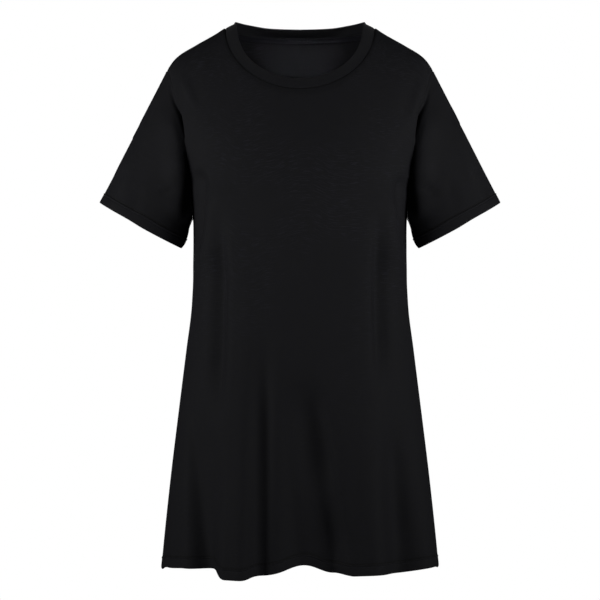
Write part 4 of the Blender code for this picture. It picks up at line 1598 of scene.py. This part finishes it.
@dataclass
class Sewing:
    """Rows of stitches along lines on the cloth."""

    material: bpy.types.Material
    pitch: float = 2.6
    length: float = 2.1
    diameter: float = 0.36
    crown: float = 0.28
    bow_steps: int = 4

    def stitch_tree(self) -> NodeForest:
        """The tree that lays one bowed stitch after another along a line."""
        forest = NodeForest("stitch_row")
        pitch = forest.size("Pitch", self.pitch * MM)
        length = forest.size("Stitch length", self.length * MM)
        diameter = forest.size("Thread diameter", self.diameter * MM)
        even = forest.out(
            "GeometryNodeResampleCurve", {"mode": "LENGTH"}, {"Curve": forest.line(), "Length": pitch}
        )
        sunk = forest.scaled(diameter, -0.5)
        crown = forest.scaled(diameter, self.crown / self.diameter)
        start = forest.out("ShaderNodeCombineXYZ", {}, {"X": forest.scaled(length, -0.5), "Z": sunk})
        middle = forest.out("ShaderNodeCombineXYZ", {}, {"Z": crown})
        end = forest.out("ShaderNodeCombineXYZ", {}, {"X": forest.scaled(length, 0.5), "Z": sunk})
        bow = forest.out(
            "GeometryNodeCurveQuadraticBezier",
            {},
            {"Resolution": self.bow_steps, "Start": start, "Middle": middle, "End": end},
        )
        stitch = forest.thread(bow, diameter)
        outward = forest.out(
            "GeometryNodeInputNamedAttribute", {"data_type": "FLOAT_VECTOR"}, {"Name": OUTWARD_NAME}
        )
        turned = forest.out(
            "FunctionNodeAxesToRotation",
            {"primary_axis": "Z", "secondary_axis": "X"},
            {0: outward, 1: forest.out("GeometryNodeInputTangent", {}, {})},
        )
        laid = forest.out(
            "GeometryNodeInstanceOnPoints", {}, {"Points": even, "Instance": stitch, "Rotation": turned}
        )
        forest.finish(laid, self.material)
        return forest

    def thread_tree(self) -> NodeForest:
        """The tree that lays one unbroken thread along a line."""
        forest = NodeForest("thread_run")
        diameter = forest.size("Thread diameter", self.diameter * MM)
        forest.finish(forest.thread(forest.line(), diameter), self.material)
        return forest

    def guide(self, name: str, lines: Iterable[SeamLine]) -> bpy.types.Object:
        """A mesh of bare edges along the lines, which carries their outward directions."""
        vertices: list[list[float]] = []
        edges: list[tuple[int, int]] = []
        outward: list[float] = []
        for line in lines:
            first, count = len(vertices), len(line.points)
            vertices += (line.points * MM).tolist()
            edges += [(first + i, first + i + 1) for i in range(count - 1)]
            if line.closed:
                edges.append((first + count - 1, first))
            outward += line.normals.ravel().tolist()
        mesh = bpy.data.meshes.new(name)
        mesh.from_pydata(vertices, edges, [])
        mesh.attributes.new(OUTWARD_NAME, "FLOAT_VECTOR", "POINT").data.foreach_set("vector", outward)
        return placed(name, mesh)

    def sew(
        self, name: str, lines: Iterable[SeamLine], forest: NodeForest, sizes: Mapping[str, float]
    ) -> None:
        """Sews along lines and turns the result into a plain mesh, which is a piece of the dress.

        Args:
            name: The piece's name.
            lines: The lines.
            forest: The tree that sews.
            sizes: Values in millimetres for the tree's inputs that aren't as usual.
        """
        guide = self.guide(f"{name}_guide", lines)
        modifier = guide.modifiers.new("sewing", "NODES")
        modifier.node_group = forest.tree
        for size, value in sizes.items():
            modifier[forest.inputs[size]] = value * MM
        depsgraph = bpy.context.evaluated_depsgraph_get()
        mesh = bpy.data.meshes.new_from_object(guide.evaluated_get(depsgraph), depsgraph=depsgraph)
        mesh.name = name
        mesh.shade_smooth()
        bpy.data.objects.remove(guide, do_unlink=True)
        settle(placed(name, mesh), Slot.JERSEY)
        log.info("%s: %d faces", name, len(mesh.polygons))


# Finishes


def tone(level: float, blue: float = 1.5) -> Colour:
    """A grey whose blue is stronger by a factor."""
    return (level, level, level * blue, 1.0)


@dataclass(frozen=True)
class JerseyFinish:
    """Fine single jersey: columns of small loops, slubs and a soft dry sheen.

    A slub is a short thick stretch of yarn that runs across the cloth. Some are lighter than the
    knit and some darker. They come in patches, and most of them are above the skirt.
    """

    name: str = "black_jersey_knit"
    dark: float = 0.0048
    light: float = 0.0058
    mottle_scale: float = 42.0
    mottle_edge: Place = (0.3, 0.7)
    mottle_depth: float = 0.12 * MM
    slub_light: float = 0.0160
    slub_dark: float = 0.0028
    slub_scale: Place = (52.0, 900.0)
    light_edge: Place = (0.57, 0.67)
    dark_edge: Place = (0.66, 0.74)
    slub_depth: float = 0.12 * MM
    patch_scale: float = 7.0
    patch_edge: Place = (0.38, 0.58)
    patch_rise: Place = (0.3, 0.5)
    patch_low: float = 0.25
    # painted shade in the seams' ditches and the hem's groove: its colour level and how strongly the seam
    # attribute lays it on
    seam_dark: float = 0.0004
    seam_shade: float = 0.96
    wale: float = 0.95 * MM
    wale_share: float = 0.7
    course: float = 0.75 * MM
    course_share: float = 0.15
    loop_depth: float = 0.10 * MM
    rough_low: float = 0.78
    rough_high: float = 0.84
    specular: float = 0.40
    sheen: float = 0.02
    sheen_roughness: float = 0.45
    sheen_tint: Colour = (0.55, 0.56, 0.62, 1.0)

    def knit_height(self, u: Signal, v: Signal) -> Signal:
        """The height of the knit's loops, from 0 to 1."""
        wales = abs((u * (math.pi / self.wale)).math("SINE"))
        leg = abs((u / self.wale).fraction() - 0.5)
        loops = (v / self.course + leg).wave(1.0)
        return wales * self.wale_share + loops * self.course_share + self.course_share

    def make(self) -> bpy.types.Material:
        """The finish's material."""
        paint = Paint(self.name)
        u, v = paint.flat_place()
        place = paint.object_place()
        mottle = paint.noise(place, self.mottle_scale, detail=3.0)
        slubs = paint.noise(paint.vector(u * self.slub_scale[0], v * self.slub_scale[1]), 1.0, detail=1.0)
        upward = v.between(*self.patch_rise) * (1 - self.patch_low) + self.patch_low
        patches = paint.noise(place, self.patch_scale, detail=1.0).between(*self.patch_edge) * upward
        bright = slubs.between(*self.light_edge) * patches
        deep = (1.0 - slubs).between(*self.dark_edge) * patches
        colour = paint.blend(mottle.between(*self.mottle_edge), tone(self.dark), tone(self.light))
        colour = paint.blend(bright, colour, tone(self.slub_light))
        colour = paint.blend(deep, colour, tone(self.slub_dark))
        # painted shade: the colour darkens where the seam attribute is high, in the seams' ditches and the
        # hem's groove
        colour = paint.blend(paint.attribute(SEAM_SHADE_NAME) * self.seam_shade, colour, tone(self.seam_dark))
        height = self.knit_height(u, v) * self.loop_depth + mottle * self.mottle_depth
        return paint.finished(
            {
                "Base Color": colour,
                "Roughness": mottle * (self.rough_high - self.rough_low) + self.rough_low,
                "Normal": paint.bump(height + bright * self.slub_depth),
            },
            {
                "Specular IOR Level": self.specular,
                "Sheen Weight": self.sheen,
                "Sheen Roughness": self.sheen_roughness,
                "Sheen Tint": self.sheen_tint,
            },
        )


@dataclass(frozen=True)
class RibFinish:
    """Fine one-and-one rib, with its ribs across the band."""

    name: str = "black_rib_knit"
    dark: float = 0.0098
    light: float = 0.0142
    blue: float = 1.25
    rib: float = 1.5 * MM
    rib_share: float = 0.6
    rib_depth: float = 0.16 * MM
    course: float = 0.8 * MM
    course_depth: float = 0.03 * MM
    cloud_scale: float = 60.0
    cloud_depth: float = 0.2 * MM
    roughness: float = 0.84
    rough_spread: float = 0.08
    specular: float = 0.18
    sheen: float = 0.10

    def make(self) -> bpy.types.Material:
        """The finish's material."""
        paint = Paint(self.name)
        u, v = paint.flat_place()
        cloudy = paint.noise(paint.object_place(), self.cloud_scale, detail=3.0)
        ribs, loops = u.ribs(self.rib), v.ribs(self.course)
        # painted shade: the colour is darker in the valleys between the ribs and lighter on their crests,
        # mixed with random cloudy tone
        shade = ribs * self.rib_share + cloudy * (1 - self.rib_share)
        height = ribs * self.rib_depth + loops * ribs * self.course_depth + cloudy * self.cloud_depth
        return paint.finished(
            {
                "Base Color": paint.blend(shade, tone(self.dark, self.blue), tone(self.light, self.blue)),
                "Roughness": cloudy * self.rough_spread + self.roughness,
                "Normal": paint.bump(height),
            },
            {"Specular IOR Level": self.specular, "Sheen Weight": self.sheen},
        )


@dataclass(frozen=True)
class TwillFinish:
    """A narrow herringbone tape."""

    name: str = "black_twill_tape"
    dark: float = 0.0060
    light: float = 0.0150
    rib: float = 1.0 * MM
    rib_share: float = 0.7
    half: float = 5.5 * MM
    depth: float = 0.12 * MM
    cloud_scale: float = 90.0
    roughness: float = 0.75
    rough_spread: float = 0.1
    specular: float = 0.25

    def make(self) -> bpy.types.Material:
        """The finish's material."""
        paint = Paint(self.name)
        u, v = paint.flat_place()
        twill = (u + abs(v - self.half)).ribs(self.rib)
        cloudy = paint.noise(paint.object_place(), self.cloud_scale, detail=2.0)
        # painted shade: the colour is darker between the twill's ridges and lighter on them, mixed with
        # random cloudy tone
        shade = twill * self.rib_share + cloudy * (1 - self.rib_share)
        return paint.finished(
            {
                "Base Color": paint.blend(shade, tone(self.dark), tone(self.light)),
                "Roughness": cloudy * self.rough_spread + self.roughness,
                "Normal": paint.bump(twill * self.depth),
            },
            {"Specular IOR Level": self.specular},
        )


@dataclass(frozen=True)
class ThreadFinish:
    """Spun polyester thread, a little brighter than the cloth."""

    name: str = "black_thread"
    dark: float = 0.0080
    light: float = 0.0160
    twist_scale: float = 2600.0
    twist_depth: float = 0.05 * MM
    roughness: float = 0.55
    rough_spread: float = 0.1
    specular: float = 0.4

    def make(self) -> bpy.types.Material:
        """The finish's material."""
        paint = Paint(self.name)
        twist = paint.noise(paint.object_place(), self.twist_scale, detail=1.0)
        return paint.finished(
            {
                "Base Color": paint.blend(twist, tone(self.dark), tone(self.light)),
                "Roughness": twist * self.rough_spread + self.roughness,
                "Normal": paint.bump(twist, self.twist_depth),
            },
            {"Specular IOR Level": self.specular},
        )


@dataclass(frozen=True)
class FloorFinish:
    """A pale floor that shines by itself, so that it looks the same from every side."""

    name: str = "pale_floor"
    dark: float = 0.90
    light: float = 0.93
    grain_scale: float = 3.0
    roughness: float = 0.9
    glow: float = 0.72

    def make(self) -> bpy.types.Material:
        """The finish's material."""
        paint = Paint(self.name)
        grain = paint.noise(paint.object_place(), self.grain_scale, detail=2.0)
        return paint.finished(
            {"Base Color": paint.blend(grain, tone(self.dark, 1.0), tone(self.light, 1.0))},
            {
                "Roughness": self.roughness,
                "Emission Color": tone(self.glow, 1.0),
                "Emission Strength": 1.0,
            },
        )


# The dress and its studio


@dataclass
class Dress:
    """The whole dress: its panels, sleeves, neck and sewing."""

    form: WornForm = field(default_factory=WornForm)
    proud: float = 0.05
    tape_proud: float = 0.1
    tape_rows: Place = (0.14, 0.86)
    zigzag_thread: float = 0.5

    def panels(self) -> tuple[PanelCloth, PanelCloth]:
        """The front and the back panel."""
        front = PanelCloth(
            name="front_panel_cloth",
            nodes=("front_panel_top", "front_panel_skirt"),
            face=Face.FRONT,
            form=self.form,
            yoke_z=-290.0,
            yoke_pull=0.45,
            neck_drop=104.5,
            armhole=FRONT_ARMHOLE,
            folds=FRONT_FOLDS,
            creases=FRONT_CREASES,
        )
        back = PanelCloth(
            name="back_panel_cloth",
            nodes=("back_panel_top", "back_panel_skirt"),
            face=Face.BACK,
            form=self.form,
            yoke_z=-215.0,
            yoke_pull=0.2,
            neck_drop=8.0,
            armhole=BACK_ARMHOLE,
            folds=BACK_FOLDS,
            creases=BACK_CREASES,
            neck_columns=76,
        )
        return front, back

    def build(self) -> None:
        """Builds and dresses every piece."""
        jersey = JerseyFinish().make()
        front, back = self.panels()
        front.build(jersey)
        back.build(jersey)
        sleeves = SleeveCloth(self.form, front, back)
        cuffs = {side: sleeves.build(side, jersey) for side in Side}
        NeckBand(front, back).build(RibFinish().make())
        tape = NeckTape(back)
        tape.build(TwillFinish().make())
        sewing = Sewing(ThreadFinish().make())
        row, run = sewing.stitch_tree(), sewing.thread_tree()
        rows = front.hem.stitched_rows
        lines = [panel.grid.stitch_line(i, self.proud) for panel in (front, back) for i in rows]
        sewing.sew("hem_stitches", lines, row, {})
        for side, grid in cuffs.items():
            lines = [grid.stitch_line(-1 - i, self.proud) for i in rows]
            sewing.sew(f"cuff_stitches_{side.name.lower()}", lines, row, {})
        lines = [tape.line(share, self.tape_proud) for share in self.tape_rows]
        sewing.sew("tape_stitches", lines, row, {})
        sewing.sew("tape_zigzag", [tape.zigzag()], run, {"Thread diameter": self.zigzag_thread})


@dataclass(frozen=True)
class Softbox:
    """A soft light: where it stands, what it faces, its size, its power in watts and its beam."""

    name: str
    place: Spot
    size: Place
    power: float
    aim: Spot = DRESS_MIDDLE
    beam: float = math.pi


def lined_up(box: Softbox, *ways: Way) -> tuple[Softbox, ...]:
    """Softboxes like the right one of a pair or row, one for each way across.

    Args:
        box: The right one, whose name has no way in it.
        ways: The ways, in order.

    Returns:
        The softboxes.
    """
    made = []
    for way in ways:
        place, aim = ((way.value * spot[0], *spot[1:]) for spot in (box.place, box.aim))
        made.append(replace(box, name=f"{box.name}_{way.name.lower()}", place=place, aim=aim))
    return tuple(made)


@dataclass
class Studio:
    """A plain pale studio and its camera.

    Two keys stand to the sides. Weaker lights with narrow beams reach into the neck and graze the
    sleeves, and one behind the dress lights its back.
    """

    camera_distance: float = 3.0
    lens: float = 112.5
    sensor: float = 36.0
    floor_z: float = -1.3
    floor_size: float = 4.4
    backdrop: float = 1.0
    ambient: float = 0.018
    ambient_colour: Colour = (0.95, 0.97, 1.0, 1.0)
    key: Softbox = Softbox(
        name="key",
        place=(1.95, -1.15, -0.3),
        size=(1.5, 0.8),
        power=5.3,
        aim=(0.0, 0.0, -0.11),
        beam=math.radians(90),
    )
    neck: Softbox = Softbox(
        name="neck",
        place=(0.0, -0.55, 0.45),
        size=(0.03, 0.03),
        power=0.0086,
        aim=(0.043, 0.09, -0.05),
        beam=math.radians(7),
    )
    side: Softbox = Softbox(
        name="side",
        place=(1.6, -0.1, 0.25),
        size=(0.5, 0.5),
        power=0.016,
        aim=(0.27, 0.0, -0.14),
        beam=math.radians(18),
    )
    back: Softbox = Softbox(name="back", place=(0.0, 2.6, -0.2), size=(1.2, 0.9), power=34.0)

    def floor(self) -> None:
        """The pale floor, which casts no light on the dress."""
        half = self.floor_size / 2
        corners = [(-half, -half), (half, -half), (half, half), (-half, half)]
        mesh = bpy.data.meshes.new("floor")
        mesh.from_pydata([(x, y, self.floor_z) for x, y in corners], [], [(0, 1, 2, 3)])
        mesh.materials.append(FloorFinish().make())
        made = placed("floor", mesh)
        made.visible_diffuse = False
        made.visible_glossy = False

    def world(self) -> None:
        """White behind the dress and weak light from all round."""
        world = bpy.data.worlds.new("studio")
        world.use_nodes = True
        maker = TreeMaker(world.node_tree)
        maker.tree.nodes.clear()
        lit = maker.out(
            "ShaderNodeBackground", {}, {"Color": self.ambient_colour, "Strength": self.ambient}
        )
        seen = maker.out("ShaderNodeBackground", {}, {"Color": tone(1.0, 1.0), "Strength": self.backdrop})
        direct = maker.node("ShaderNodeLightPath", {}, {}).outputs["Is Camera Ray"]
        mix = maker.out("ShaderNodeMixShader", {}, {0: direct, 1: lit, 2: seen})
        maker.node("ShaderNodeOutputWorld", {}, {0: mix})
        bpy.context.scene.world = world

    def light(self, softbox: Softbox) -> None:
        """A softbox that faces its aim and doesn't show itself."""
        data = bpy.data.lights.new(softbox.name, "AREA")
        data.shape = "RECTANGLE"
        data.size, data.size_y = softbox.size
        data.energy = softbox.power
        data.spread = softbox.beam
        made = placed(softbox.name, data)
        made.location = softbox.place
        made.visible_camera = False
        facing = Vector(softbox.place) - Vector(softbox.aim)
        made.rotation_euler = facing.to_track_quat("Z", "Y").to_euler()

    def camera(self) -> None:
        """The camera, level and square to the dress's front."""
        data = bpy.data.cameras.new("camera")
        data.lens, data.sensor_width = self.lens, self.sensor
        made = placed("camera", data)
        made.location = (DRESS_MIDDLE[0], -self.camera_distance, DRESS_MIDDLE[2])
        made.rotation_euler = (math.pi / 2, 0.0, 0.0)
        bpy.context.scene.camera = made

    def build(self) -> None:
        """Sets up floor, world, lights and camera."""
        self.floor()
        self.world()
        for softbox in (
            *lined_up(self.key, Way.LEFT, Way.RIGHT),
            *lined_up(self.neck, Way.LEFT, Way.MIDDLE, Way.RIGHT),
            *lined_up(self.side, Way.LEFT, Way.RIGHT),
            self.back,
        ):
            self.light(softbox)
        self.camera()
        bpy.context.scene.view_settings.view_transform = "Standard"


def main() -> None:
    """Builds the dress and its studio."""
    logging.basicConfig(level=logging.INFO, format="%(name)s: %(message)s")
    Dress().build()
    Studio().build()


if __name__ == "__main__":
    main()
